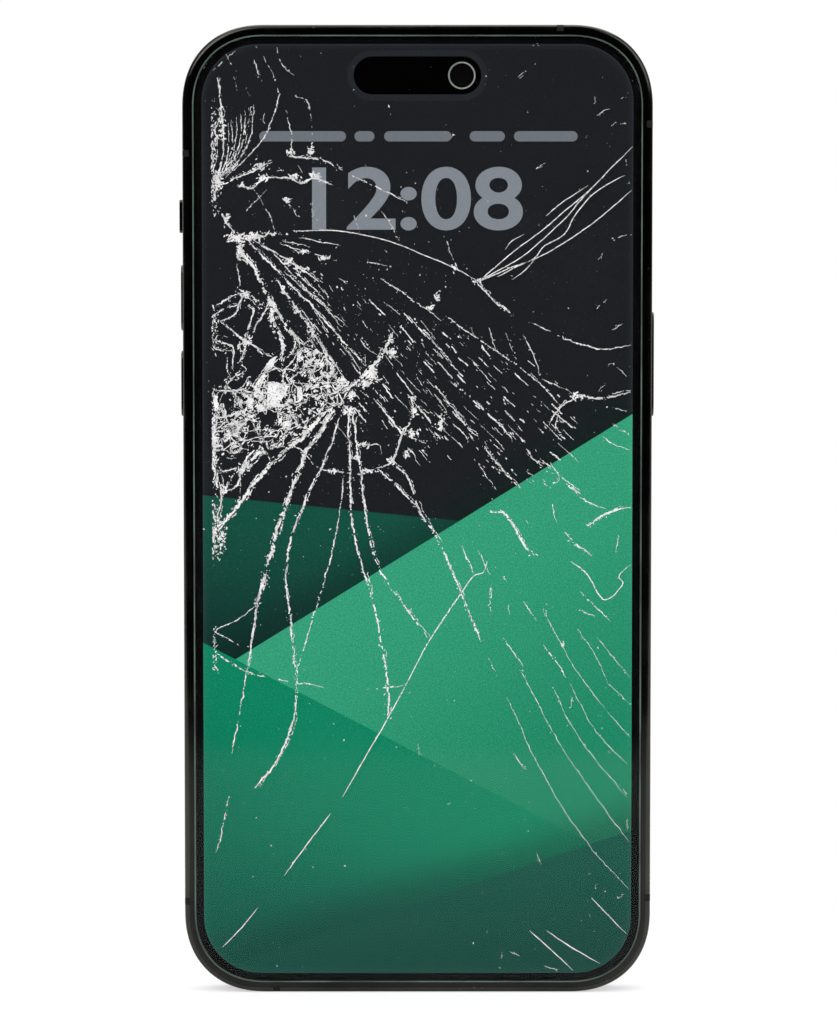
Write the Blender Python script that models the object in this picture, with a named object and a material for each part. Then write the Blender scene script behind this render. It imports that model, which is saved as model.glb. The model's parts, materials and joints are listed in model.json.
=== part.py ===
"""Large flat-sided smartphone whose front glass is shattered, standing on its lower edge.

X runs across the phone, Z up from the surface it stands on, and the screen faces -Y.
Depths are measured back from the front of the glass. Sizes are metres, written in millimetres.
"""

import math
import random
from dataclasses import dataclass

import bmesh
import bpy
from mathutils import Vector

MM = 0.001

# Body and side frame
BODY_WIDTH = 77.6 * MM
BODY_HEIGHT = 160.7 * MM
BODY_DEPTH = 7.85 * MM
CORNER_RADIUS = 13.6 * MM
CORNER_SQUARENESS = 2.25
SHOULDER_RADIUS = 0.8 * MM
FRAME_LIP = 1.65 * MM
REAR_LIP = 1.3 * MM
FRAME_WALL = 2.6 * MM
GLASS_PROUD = 0.06 * MM

# Clearances
HAIR_GAP = 0.03 * MM
REST_GAP = 0.05 * MM
RUNNING_GAP = 0.08 * MM
MODULE_GAP = 0.3 * MM

# Front stack, from the glass inwards
GASKET_WIDTH = 0.25 * MM
GASKET_SUNK = 0.1 * MM
GLASS_THICKNESS = 0.75 * MM
GLASS_EDGE = 0.22 * MM
PANEL_THICKNESS = 0.75 * MM
BACKPLATE_THICKNESS = 0.35 * MM
BACKPLATE_MARGIN = 1.2 * MM

# Sensor island at the top of the screen
ISLAND_DROP = 8.3 * MM
CAMERA_OFFSET = 7.3 * MM
FRONT_CAMERA_DIAMETER = 4.7 * MM
FRONT_CAMERA_WALL = 0.28 * MM
FRONT_CAMERA_LENGTH = 4.2 * MM
FRONT_LENS_DOME = 1.17 * MM
ISLAND_SPACING = 1.2 * MM
FACE_SENSOR_WIDTH = 12.4 * MM
FACE_SENSOR_HEIGHT = 5.2 * MM
FACE_SENSOR_EYE = 3.4 * MM
EARPIECE_WIDTH = 11.5 * MM
EARPIECE_SLOT = 0.45 * MM
EARPIECE_SPEAKER_HEIGHT = 4.6 * MM
EARPIECE_SPEAKER_DEPTH = 2.6 * MM

# Rear glass and its raised camera plateau
REAR_GLASS = 0.85 * MM
REAR_GLASS_EDGE = 0.25 * MM
PLATEAU_WIDTH = 37.7 * MM
PLATEAU_HEIGHT = 39.0 * MM
PLATEAU_RADIUS = 10.0 * MM
PLATEAU_RISE = 1.7 * MM
PLATEAU_SLOPE = 0.7 * MM
PLATEAU_KNEE = 0.21 * MM
PLATEAU_MARGIN = 3.4 * MM
LENS_RING_DIAMETER = 16.4 * MM
LENS_RING_RISE = 2.5 * MM
LENS_RING_WALL = 1.5 * MM
LENS_RING_EDGE = 0.35 * MM
LENS_COVER_THICKNESS = 0.7 * MM
LENS_COVER_SUNK = 0.35 * MM
LENS_COLUMN = 18.8 * MM
LENS_SPREAD = 9.4 * MM
WINDOW_DIAMETER = 6.4 * MM
WINDOW_THICKNESS = 0.8 * MM
WINDOW_SPREAD = 13.3 * MM
REAR_MICROPHONE = 0.9 * MM
REAR_MICROPHONE_X = 2.35 * MM

# Chassis, charging coil and battery
CHASSIS_THICKNESS = 0.5 * MM
COIL_HOLE = 56.0 * MM
MAGNET_WIDTH = 3.0 * MM
COIL_OUTER = 44.0 * MM
COIL_INNER = 20.0 * MM
COIL_THICKNESS = 0.4 * MM
BATTERY_SIDE_GAP = 2.8 * MM
BATTERY_HEADROOM = 7.1 * MM
BATTERY_THICKNESS = 3.8 * MM
BATTERY_EDGE = 0.6 * MM
ADHESIVE_WIDTH = 8.0 * MM
ADHESIVE_THICKNESS = 0.15 * MM

# Camera modules inside
MODULE_BASE = 13.0 * MM
MODULE_BARREL = 11.0 * MM
CAGE_THICKNESS = 0.4 * MM
CAGE_DEPTH = 5.3 * MM
CAGE_MARGIN = 1.0 * MM

# Buttons and their switches
BUTTON_DEPTH = 2.9 * MM
BUTTON_PROUD = 0.4 * MM
BUTTON_EDGE = 0.18 * MM
BUTTON_TRAVEL = 0.25 * MM
BUTTON_FLANGE = 0.45 * MM
BUTTON_FLANGE_THICKNESS = 0.5 * MM
BUTTON_NUB = 0.25 * MM
SIDE_BUTTON_LENGTH = 17.3 * MM
SIDE_BUTTON_DROP = 56.0 * MM
VOLUME_BUTTON_LENGTH = 10.9 * MM
VOLUME_UP_DROP = 45.0 * MM
VOLUME_DOWN_DROP = 59.2 * MM
SWITCH_PLATE = 0.5 * MM
SWITCH_DOME = 0.4 * MM
SWITCH_DOME_LENGTH = 3.2 * MM
SWITCH_DOME_WIDTH = 2.0 * MM

# Ring switch, which slides front to back in its recess
RING_SWITCH_DROP = 31.5 * MM
RING_SWITCH_LENGTH = 5.5 * MM
RING_SWITCH_WIDTH = 1.5 * MM
RING_SWITCH_PROUD = 0.6 * MM
RING_SWITCH_TRAVEL = 1.4 * MM
RING_RECESS_LENGTH = 7.0 * MM
RING_RECESS_DEPTH = 0.7 * MM
RING_STEM = 1.0 * MM

# Card tray on the left side
TRAY_DROP = 82.0 * MM
TRAY_LENGTH = 15.2 * MM
TRAY_WIDTH = 2.6 * MM
TRAY_HEAD = 1.2 * MM
TRAY_PLATE = 1.1 * MM
TRAY_REACH = 16.5 * MM
TRAY_PIN_HOLE = 0.9 * MM
CARD_LENGTH = 12.3 * MM
CARD_WIDTH = 8.8 * MM
CARD_THICKNESS = 0.67 * MM
READER_WALL = 0.3 * MM

# Lower edge: charging port, grilles and screws
PORT_WIDTH = 8.3 * MM
PORT_HEIGHT = 2.6 * MM
PORT_WALL = 0.35 * MM
PORT_LENGTH = 7.2 * MM
PORT_RECESS = 0.3 * MM
PORT_CONTACT = 0.4 * MM
SCREW_SPREAD = 6.3 * MM
SCREW_HEAD = 1.5 * MM
SCREW_SHANK = 1.1 * MM
SCREW_LENGTH = 4.0 * MM
SCREW_SUNK = 0.15 * MM
SCREW_STAR = 0.51 * MM
SCREW_STAR_WAIST = 0.26 * MM
SCREW_STAR_DEPTH = 0.3 * MM
GRILLE_HOLE = 1.35 * MM
GRILLE_PITCH = 2.35 * MM
GRILLE_COUNT = 6
GRILLE_START = 9.2 * MM

# Modules on both sides of the port
LOWER_MODULE_HEIGHT = 14.0 * MM
LOWER_MODULE_THICKNESS = 3.8 * MM
LOWER_MODULE_RADIUS = 6.0 * MM
HAPTIC_SIDE_GAP = 6.95 * MM
SPEAKER_SIDE_GAP = 4.85 * MM
MICROPHONE_SIZE = 3.6 * MM

# Logic board
BOARD_WIDTH = 18.5 * MM
BOARD_BELOW_TRAY = 7.1 * MM
BOARD_DROP = 13.7 * MM
BOARD_THICKNESS = 0.7 * MM
SHIELD_THICKNESS = 1.2 * MM
FLEX_THICKNESS = 0.15 * MM
FLEX_WIDTH = 5.0 * MM

# Antenna strips let into the side frame
STRIP_WIDTH = 1.1 * MM
STRIP_DEPTH = 1.2 * MM
STRIP_LEFT_DROP = 21.1 * MM
STRIP_LEFT_RISE = 15.3 * MM
STRIP_RIGHT_DROP = 16.3 * MM
STRIP_RIGHT_RISE = 15.9 * MM
STRIP_END_OFFSET = 23.5 * MM

# Cracks in the front glass
CRACK_DEPTH = 0.36 * MM
CRACK_TIP = 0.35
CRACK_WIDTH_RANGE = (0.75, 1.15)
CRACK_STEP = 5.0 * MM
CRACK_JITTER = 0.14 * MM
CHIP_DEPTH = 0.28 * MM
CHIP_DEPTH_RANGE = (0.6, 1.0)
CHIP_REACH_RANGE = (0.7, 1.25)
CHIP_SIZE_RANGE = (0.45, 1.0)
CHIP_TURN_RANGE = (-0.3, 0.3)
CHIP_MOUTH = 1.2
CHIP_FLOOR = 0.55
CRUSHED_FLATNESS = 0.8
CHIP_COUNT = 22
CRACK_SEED = 7
CUTTER_PROUD = 0.2 * MM

# Smoothness of the rounds
CORNER_STEPS = 8
INNER_STEPS = 5
COIL_STEPS = 8
SHOULDER_STEPS = 3
HOLE_STEPS = 2
SLOT_STEPS = 3
ROUND_STEPS = 6
WELD = 1e-7

# Places worked out from the sizes above
CAMERA_RISE = PLATEAU_RISE + LENS_RING_RISE
FRONT_Y = -(BODY_DEPTH + CAMERA_RISE) / 2
HALF_WIDTH = BODY_WIDTH / 2
MID_DEPTH = BODY_DEPTH / 2
FRONT_LEDGE = GLASS_THICKNESS + REST_GAP
REAR_LEDGE = BODY_DEPTH - REAR_GLASS - REST_GAP
GLASS_INSET = FRAME_LIP + GASKET_WIDTH
PANEL_FRONT = GLASS_THICKNESS + REST_GAP
PANEL_INSET = FRAME_WALL + MODULE_GAP
BACKPLATE_FRONT = PANEL_FRONT + PANEL_THICKNESS + REST_GAP
BAY_FRONT = BACKPLATE_FRONT + BACKPLATE_THICKNESS + MODULE_GAP
CHASSIS_REAR = REAR_LEDGE - REST_GAP
CHASSIS_FRONT = CHASSIS_REAR - CHASSIS_THICKNESS
BAY_REAR = CHASSIS_FRONT - REST_GAP
ISLAND_Z = BODY_HEIGHT - ISLAND_DROP
PLATEAU_X = HALF_WIDTH - PLATEAU_MARGIN - PLATEAU_WIDTH / 2
PLATEAU_Z = BODY_HEIGHT - PLATEAU_MARGIN - PLATEAU_HEIGHT / 2
PLATEAU_FACE = BODY_DEPTH + PLATEAU_RISE
RING_FACE = PLATEAU_FACE + LENS_RING_RISE
INNER_WALL_X = HALF_WIDTH - FRAME_WALL
SWITCH_FACE = INNER_WALL_X - REST_GAP - BUTTON_FLANGE_THICKNESS - BUTTON_NUB
SWITCH_BACK = SWITCH_FACE - BUTTON_TRAVEL - REST_GAP - SWITCH_DOME - SWITCH_PLATE
LOWER_FLOOR = FRAME_WALL + MODULE_GAP
BATTERY_BOTTOM = LOWER_FLOOR + LOWER_MODULE_HEIGHT + MODULE_GAP
BATTERY_TOP = PLATEAU_Z - PLATEAU_HEIGHT / 2 - BATTERY_HEADROOM
BATTERY_HEIGHT = BATTERY_TOP - BATTERY_BOTTOM
BATTERY_Z = (BATTERY_TOP + BATTERY_BOTTOM) / 2
BATTERY_REAR = BAY_REAR - ADHESIVE_THICKNESS - REST_GAP
COIL_Z = BODY_HEIGHT / 2
BOARD_X = -SWITCH_BACK + MODULE_GAP + BOARD_WIDTH / 2
BATTERY_LEFT = BOARD_X + BOARD_WIDTH / 2 + BATTERY_SIDE_GAP
BATTERY_RIGHT = SWITCH_BACK - MODULE_GAP
BATTERY_WIDTH = BATTERY_RIGHT - BATTERY_LEFT
BATTERY_X = (BATTERY_LEFT + BATTERY_RIGHT) / 2
TRAY_Z = BODY_HEIGHT - TRAY_DROP
BOARD_BOTTOM = TRAY_Z - TRAY_LENGTH / 2 - BOARD_BELOW_TRAY
BOARD_TOP = BODY_HEIGHT - BOARD_DROP
BOARD_FRONT = MID_DEPTH + TRAY_WIDTH / 2 + READER_WALL + REST_GAP


def finish(name, colour, roughness, metallic=0.0, alpha=1.0):
    """A Principled material of this colour."""
    material = bpy.data.materials.new(name)
    material.use_nodes = True
    shader = material.node_tree.nodes["Principled BSDF"]
    shader.inputs["Base Color"].default_value = (*colour, 1.0)
    shader.inputs["Roughness"].default_value = roughness
    shader.inputs["Metallic"].default_value = metallic
    shader.inputs["Alpha"].default_value = alpha
    material.diffuse_color = (*colour, alpha)
    return material


def rounded(width, height, radius, squareness=2.0, steps=ROUND_STEPS):
    """Outline of a rectangle with rounded corners, as a function of its inset."""
    reach = min(radius, width / 2, height / 2)

    def outline(inset=0.0):
        shrink = min(inset, reach)
        points = []
        for corner, (sign_a, sign_b) in enumerate(((1, 1), (-1, 1), (-1, -1), (1, -1))):
            for step in range(steps + 1):
                angle = (corner + step / steps) * math.pi / 2
                cosine = abs(math.cos(angle))
                sine = abs(math.sin(angle))
                normal = Vector((cosine, sine))
                along = normal
                if squareness != 2.0:
                    along = Vector((cosine ** (2 / squareness), sine ** (2 / squareness)))
                    turn = 2 - 2 / squareness
                    normal = Vector((cosine**turn, sine**turn)).normalized()
                a = width / 2 - reach - (inset - shrink) + reach * along.x - shrink * normal.x
                b = height / 2 - reach - (inset - shrink) + reach * along.y - shrink * normal.y
                points.append((sign_a * a, sign_b * b))
        return points

    return outline


def round_outline(diameter, steps=ROUND_STEPS):
    """Outline of a circle, as a function of its inset."""
    return rounded(diameter, diameter, diameter / 2, steps=steps)


def slot_outline(length, width, steps=SLOT_STEPS):
    """Outline of a slot with round ends, as a function of its inset."""
    return rounded(length, width, min(length, width) / 2, steps=steps)


def body_outline(steps=CORNER_STEPS):
    """Outline of the phone seen from the front, as a function of its inset."""
    return rounded(BODY_WIDTH, BODY_HEIGHT, CORNER_RADIUS, CORNER_SQUARENESS, steps)


def facing(x=0.0, z=0.0):
    """Places an outline in a plane parallel to the screen. Levels are depths."""
    return lambda a, b, level: Vector((x + a, FRONT_Y + level, z + b))


def on_side(side, z, depth=MID_DEPTH):
    """Places an outline on the left (-1) or right (1) side. Levels are distances from the middle."""
    return lambda a, b, level: Vector((side * level, FRONT_Y + depth + b, z + a))


def on_end(x, depth=MID_DEPTH):
    """Places an outline on the lower edge. Levels are heights."""
    return lambda a, b, level: Vector((x + a, FRONT_Y + depth + b, level))


def add_object(name, mesh, material=None, origin=Vector()):
    """Turns a bmesh into an object placed by its origin, with its normals outwards."""
    bmesh.ops.remove_doubles(mesh, verts=mesh.verts, dist=WELD)
    bmesh.ops.recalc_face_normals(mesh, faces=mesh.faces)
    bmesh.ops.translate(mesh, verts=mesh.verts, vec=-origin)
    data = bpy.data.meshes.new(name)
    mesh.to_mesh(data)
    mesh.free()
    data.shade_smooth()
    data.set_sharp_from_angle(angle=math.radians(30))
    thing = bpy.data.objects.new(name, data)
    thing.location = origin
    bpy.context.scene.collection.objects.link(thing)
    if material:
        data.materials.append(material)
    return thing


def loft(name, outline, section, place, material=None, ring=False):
    """Body bridged between copies of an outline, one for each (inset, level) of its section.

    A ring joins its last loop to its first. Any other body is capped at both ends.
    The origin is in the middle of the first loop, so on the line that the body slides along.
    """
    mesh = bmesh.new()
    loops = []
    for inset, level in section:
        loops.append([mesh.verts.new(place(a, b, level)) for a, b in outline(inset)])
    count = len(loops[0])
    pairs = list(zip(loops, loops[1:]))
    if ring:
        pairs.append((loops[-1], loops[0]))
    for near, far in pairs:
        for i in range(count):
            j = (i + 1) % count
            mesh.faces.new((near[i], near[j], far[j], far[i]))
    if not ring:
        mesh.faces.new(loops[0])
        mesh.faces.new(loops[-1])
    return add_object(name, mesh, material, place(0, 0, section[0][1]))


def slab(name, outline, near, far, place, material=None, edge=0.0):
    """Plate between two levels, with its edges chamfered."""
    section = [(0.0, near), (0.0, far)]
    if edge:
        section = [(edge, near), (0.0, near + edge), (0.0, far - edge), (edge, far)]
    return loft(name, outline, section, place, material)


def plate(name, corners, near, far, place, material=None):
    """Plate between two levels with straight sides through the corners."""
    mesh = bmesh.new()
    face = mesh.faces.new([mesh.verts.new(place(a, b, near)) for a, b in corners])
    grown = bmesh.ops.extrude_face_region(mesh, geom=[face])
    shift = place(0, 0, far) - place(0, 0, near)
    top = [item for item in grown["geom"] if isinstance(item, bmesh.types.BMVert)]
    bmesh.ops.translate(mesh, verts=top, vec=shift)
    return add_object(name, mesh, material, place(0, 0, near))


def combine(target, others, operation):
    """Adds one Boolean to the target, with the others as hidden operands."""
    group = bpy.data.collections.new(f"{target.name}_{operation.lower()}")
    bpy.context.scene.collection.children.link(group)
    for other in others:
        bpy.context.scene.collection.objects.unlink(other)
        group.objects.link(other)
        other.hide_render = True
        other.display_type = "WIRE"
    modifier = target.modifiers.new(operation.lower(), "BOOLEAN")
    modifier.operation = operation
    modifier.operand_type = "COLLECTION"
    modifier.collection = group
    modifier.solver = "EXACT"
    return target


def cut(target, *cutters):
    """Takes the cutters away from the target."""
    return combine(target, cutters, "DIFFERENCE")


def fuse(target, *others):
    """Joins the others to the target."""
    return combine(target, others, "UNION")


def quarter(inset, level, radius, start):
    """Points of a quarter circle in a section, from the start angle on."""
    points = []
    for step in range(SHOULDER_STEPS + 1):
        angle = start + step / SHOULDER_STEPS * math.pi / 2
        points.append((inset - radius * math.sin(angle), level - radius * math.cos(angle)))
    return points


def outer_section(depth_in):
    """Outer half of the frame's section, from the front face to the rear face."""
    front = GLASS_PROUD
    rear = BODY_DEPTH - GLASS_PROUD
    points = [(depth_in, front)]
    points += quarter(SHOULDER_RADIUS, front + SHOULDER_RADIUS, SHOULDER_RADIUS, 0.0)
    points += quarter(SHOULDER_RADIUS, rear - SHOULDER_RADIUS, SHOULDER_RADIUS, math.pi / 2)
    return points


def frame_section():
    """Closed section of the side frame, with a ledge for each glass."""
    return outer_section(FRAME_LIP) + [
        (REAR_LIP, BODY_DEPTH - GLASS_PROUD),
        (REAR_LIP, REAR_LEDGE),
        (FRAME_WALL, REAR_LEDGE),
        (FRAME_WALL, FRONT_LEDGE),
        (FRAME_LIP, FRONT_LEDGE),
    ]


def button_openings():
    """Cutters for the openings of the three buttons, the ring switch and the tray."""
    through = [(0.0, HALF_WIDTH + CUTTER_PROUD), (0.0, INNER_WALL_X - CUTTER_PROUD)]
    sides = (
        ("side_opening", 1, SIDE_BUTTON_LENGTH, SIDE_BUTTON_DROP),
        ("volume_up_opening", -1, VOLUME_BUTTON_LENGTH, VOLUME_UP_DROP),
        ("volume_down_opening", -1, VOLUME_BUTTON_LENGTH, VOLUME_DOWN_DROP),
    )
    cutters = []
    for name, side, length, drop in sides:
        outline = slot_outline(length + 2 * RUNNING_GAP, BUTTON_DEPTH + 2 * RUNNING_GAP)
        cutters.append(loft(name, outline, through, on_side(side, BODY_HEIGHT - drop)))
    sweep = RING_SWITCH_WIDTH + RING_SWITCH_TRAVEL + 2 * RUNNING_GAP
    recess = rounded(RING_RECESS_LENGTH, sweep, sweep / 3)
    recess_section = [(0.0, HALF_WIDTH + CUTTER_PROUD), (0.0, HALF_WIDTH - RING_RECESS_DEPTH)]
    ring_place = on_side(-1, BODY_HEIGHT - RING_SWITCH_DROP)
    cutters.append(loft("ring_recess", recess, recess_section, ring_place))
    stem = RING_STEM + 2 * RUNNING_GAP
    stem_slot = slot_outline(stem, stem + RING_SWITCH_TRAVEL)
    cutters.append(loft("ring_slot", stem_slot, through, ring_place))
    tray = slot_outline(TRAY_LENGTH + 2 * RUNNING_GAP, TRAY_WIDTH + 2 * RUNNING_GAP)
    cutters.append(loft("tray_opening", tray, through, on_side(-1, TRAY_Z)))
    return cutters


def grille_places():
    """Middles of the grille holes, from the port outwards on both sides."""
    places = []
    for side in (-1, 1):
        for index in range(GRILLE_COUNT):
            places.append(side * (GRILLE_START + index * GRILLE_PITCH))
    return places


def lower_edge_openings():
    """Cutters for the port, its two screws and the grilles."""
    through = [(0.0, -CUTTER_PROUD), (0.0, FRAME_WALL + CUTTER_PROUD)]
    port = slot_outline(PORT_WIDTH + 2 * HAIR_GAP, PORT_HEIGHT + 2 * HAIR_GAP)
    cutters = [loft("port_opening", port, through, on_end(0.0))]
    for side in (-1, 1):
        hole = round_outline(SCREW_HEAD + 2 * RUNNING_GAP, HOLE_STEPS)
        cutters.append(loft("screw_opening", hole, through, on_end(side * SCREW_SPREAD)))
    for x in grille_places():
        hole = round_outline(GRILLE_HOLE, HOLE_STEPS)
        cutters.append(loft("grille_opening", hole, through, on_end(x)))
    return cutters


def strip_places():
    """Name, edge and place along that edge of each antenna strip."""
    return (
        ("antenna_strip_left_upper", "left", BODY_HEIGHT - STRIP_LEFT_DROP),
        ("antenna_strip_left_lower", "left", STRIP_LEFT_RISE),
        ("antenna_strip_right_upper", "right", BODY_HEIGHT - STRIP_RIGHT_DROP),
        ("antenna_strip_right_lower", "right", STRIP_RIGHT_RISE),
        ("antenna_strip_top", "top", STRIP_END_OFFSET),
        ("antenna_strip_bottom", "bottom", -STRIP_END_OFFSET),
    )


def across_edge(edge, along):
    """Places a section on one edge: the level runs along the edge, the inset goes into it."""
    middle_z = BODY_HEIGHT / 2
    if edge in ("left", "right"):
        side = 1 if edge == "right" else -1
        return lambda inset, depth, level: Vector(
            (side * (HALF_WIDTH - inset), FRONT_Y + depth, along + level)
        )
    side = 1 if edge == "top" else -1
    return lambda inset, depth, level: Vector(
        (along + level, FRONT_Y + depth, middle_z + side * (middle_z - inset))
    )


def add_antenna_strips(material):
    """The plastic strips, each with the frame's own outer section."""
    grooves = []
    for name, edge, along in strip_places():
        place = across_edge(edge, along)
        section = outer_section(STRIP_DEPTH)
        section.append((STRIP_DEPTH, BODY_DEPTH - GLASS_PROUD))
        half = STRIP_WIDTH / 2
        plate(name, section, -half, half, place, material)
        reach = STRIP_DEPTH + HAIR_GAP
        box = [(-CUTTER_PROUD, -CUTTER_PROUD), (reach, -CUTTER_PROUD)]
        box += [(reach, BODY_DEPTH + CUTTER_PROUD), (-CUTTER_PROUD, BODY_DEPTH + CUTTER_PROUD)]
        half += HAIR_GAP
        grooves.append(plate(f"{name}_groove", box, -half, half, place))
    return grooves


def add_side_frame(material, grooves):
    """The polished band, with its ledges, openings and the earpiece slot."""
    middle = facing(0, BODY_HEIGHT / 2)
    frame = loft("side_frame", body_outline(), frame_section(), middle, material, ring=True)
    slot = slot_outline(EARPIECE_WIDTH, EARPIECE_SLOT, HOLE_STEPS)
    slot_z = BODY_HEIGHT - FRAME_LIP + EARPIECE_SLOT
    slot_section = [(0.0, -CUTTER_PROUD), (0.0, FRONT_LEDGE + CUTTER_PROUD)]
    earpiece = loft("earpiece_slot", slot, slot_section, facing(0, slot_z))
    return cut(frame, earpiece, *button_openings(), *lower_edge_openings(), *grooves)


def add_lower_edge_pieces(steel, black, gold):
    """Port shell with its contacts, and the two screws beside it."""
    outline = slot_outline(PORT_WIDTH, PORT_HEIGHT)
    mouth = PORT_RECESS
    section = [
        (PORT_WALL, mouth + PORT_LENGTH - PORT_WALL),
        (PORT_WALL, mouth),
        (0.0, mouth),
        (0.0, mouth + PORT_LENGTH),
    ]
    loft("charge_port", outline, section, on_end(0.0), black)
    contact = rounded(PORT_WIDTH - PORT_HEIGHT, PORT_CONTACT, PORT_CONTACT / 4, steps=2)
    contact_depth = MID_DEPTH - PORT_HEIGHT / 2 + PORT_WALL + PORT_CONTACT / 2 + REST_GAP
    contact_top = mouth + PORT_LENGTH - PORT_WALL - REST_GAP
    contact_section = [(0.0, mouth + PORT_WALL), (0.0, contact_top)]
    loft("charge_port_contacts", contact, contact_section, on_end(0.0, contact_depth), gold)
    for name, side in (("bottom_screw_left", -1), ("bottom_screw_right", 1)):
        head = round_outline(SCREW_HEAD)
        shank = (SCREW_HEAD - SCREW_SHANK) / 2
        neck = SCREW_SUNK + SCREW_HEAD / 2
        screw_section = [
            (0.0, SCREW_SUNK),
            (0.0, neck),
            (shank, neck),
            (shank, SCREW_SUNK + SCREW_LENGTH),
        ]
        place = on_end(side * SCREW_SPREAD)
        screw = loft(name, head, screw_section, place, steel)
        recess = star(SCREW_STAR, SCREW_STAR_WAIST)
        floor = SCREW_SUNK + SCREW_STAR_DEPTH
        cut(screw, plate(f"{name}_recess", recess, -CUTTER_PROUD, floor, place))


def star(outer, inner, points=5):
    """Corners of a small star recess."""
    corners = []
    for index in range(2 * points):
        radius = inner if index % 2 else outer
        angle = index * math.pi / points
        corners.append((radius * math.cos(angle), radius * math.sin(angle)))
    return corners


def stop_section():
    """Section of a pressed cap from its outer face to the nub inside, as (inset, distance)."""
    face = HALF_WIDTH + BUTTON_PROUD
    flange_front = INNER_WALL_X - REST_GAP
    flange_back = flange_front - BUTTON_FLANGE_THICKNESS
    nub = BUTTON_DEPTH / 2 - BUTTON_NUB
    return [
        (BUTTON_EDGE, face),
        (0.0, face - BUTTON_EDGE),
        (0.0, flange_front),
        (-BUTTON_FLANGE, flange_front),
        (-BUTTON_FLANGE, flange_back),
        (nub, flange_back),
        (nub, flange_back - BUTTON_NUB),
    ]


def add_button(name, side, length, drop, material):
    """A cap with the flange that keeps it in the frame and the nub that meets its switch."""
    outline = grown(slot_outline, length, BUTTON_DEPTH)
    place = on_side(side, BODY_HEIGHT - drop)
    loft(name, outline, stop_section(), place, material)


def grown(shape, length, width):
    """Outline that also accepts a negative inset, for a flange wider than the shape."""
    return lambda inset=0.0: (
        shape(length, width)(inset)
        if inset >= 0
        else shape(length - 2 * inset, width - 2 * inset)(0.0)
    )


def add_switches(metal):
    """Sprung dome switches behind the buttons, on plates along the frame's inner wall."""
    plate_face = SWITCH_FACE - BUTTON_TRAVEL - REST_GAP - SWITCH_DOME
    width = BUTTON_DEPTH
    span = VOLUME_DOWN_DROP - VOLUME_UP_DROP + VOLUME_BUTTON_LENGTH
    middle = (VOLUME_DOWN_DROP + VOLUME_UP_DROP) / 2
    groups = (
        ("side_switch", 1, SIDE_BUTTON_LENGTH, SIDE_BUTTON_DROP, (SIDE_BUTTON_DROP,)),
        ("volume_switch", -1, span, middle, (VOLUME_UP_DROP, VOLUME_DOWN_DROP)),
    )
    for name, side, length, drop, domes in groups:
        outline = rounded(length, width, width / 4, steps=2)
        section = [(0.0, plate_face), (0.0, SWITCH_BACK)]
        base = loft(name, outline, section, on_side(side, BODY_HEIGHT - drop), metal)
        tops = []
        for dome in domes:
            dome_outline = slot_outline(SWITCH_DOME_LENGTH, SWITCH_DOME_WIDTH, HOLE_STEPS)
            dome_top = plate_face + SWITCH_DOME
            dome_section = [(SWITCH_DOME / 2, dome_top), (0.0, plate_face - SWITCH_PLATE / 2)]
            place = on_side(side, BODY_HEIGHT - dome)
            tops.append(loft(f"{name}_dome", dome_outline, dome_section, place))
        fuse(base, *tops)


def add_ring_switch(material, metal):
    """Lever of the ring switch, its stem through the frame, and the slider block inside."""
    place = on_side(-1, BODY_HEIGHT - RING_SWITCH_DROP, MID_DEPTH - RING_SWITCH_TRAVEL / 2)
    floor = HALF_WIDTH - RING_RECESS_DEPTH + REST_GAP
    head = rounded(RING_SWITCH_LENGTH, RING_SWITCH_WIDTH, RING_SWITCH_WIDTH / 3)
    head_section = [
        (BUTTON_EDGE, HALF_WIDTH + RING_SWITCH_PROUD),
        (0.0, HALF_WIDTH + RING_SWITCH_PROUD - BUTTON_EDGE),
        (0.0, floor),
    ]
    lever = loft("ring_switch", head, head_section, place, material)
    stem_end = INNER_WALL_X - BUTTON_FLANGE_THICKNESS
    stem_section = [(0.0, floor + RING_RECESS_DEPTH / 2), (0.0, stem_end)]
    stem = loft("ring_switch_stem", round_outline(RING_STEM), stem_section, place)
    fuse(lever, stem)
    base = rounded(RING_RECESS_LENGTH, BUTTON_DEPTH, RING_STEM / 2, steps=2)
    section = [(0.0, stem_end - REST_GAP), (0.0, SWITCH_BACK)]
    loft("ring_switch_slider", base, section, on_side(-1, BODY_HEIGHT - RING_SWITCH_DROP), metal)


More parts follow.
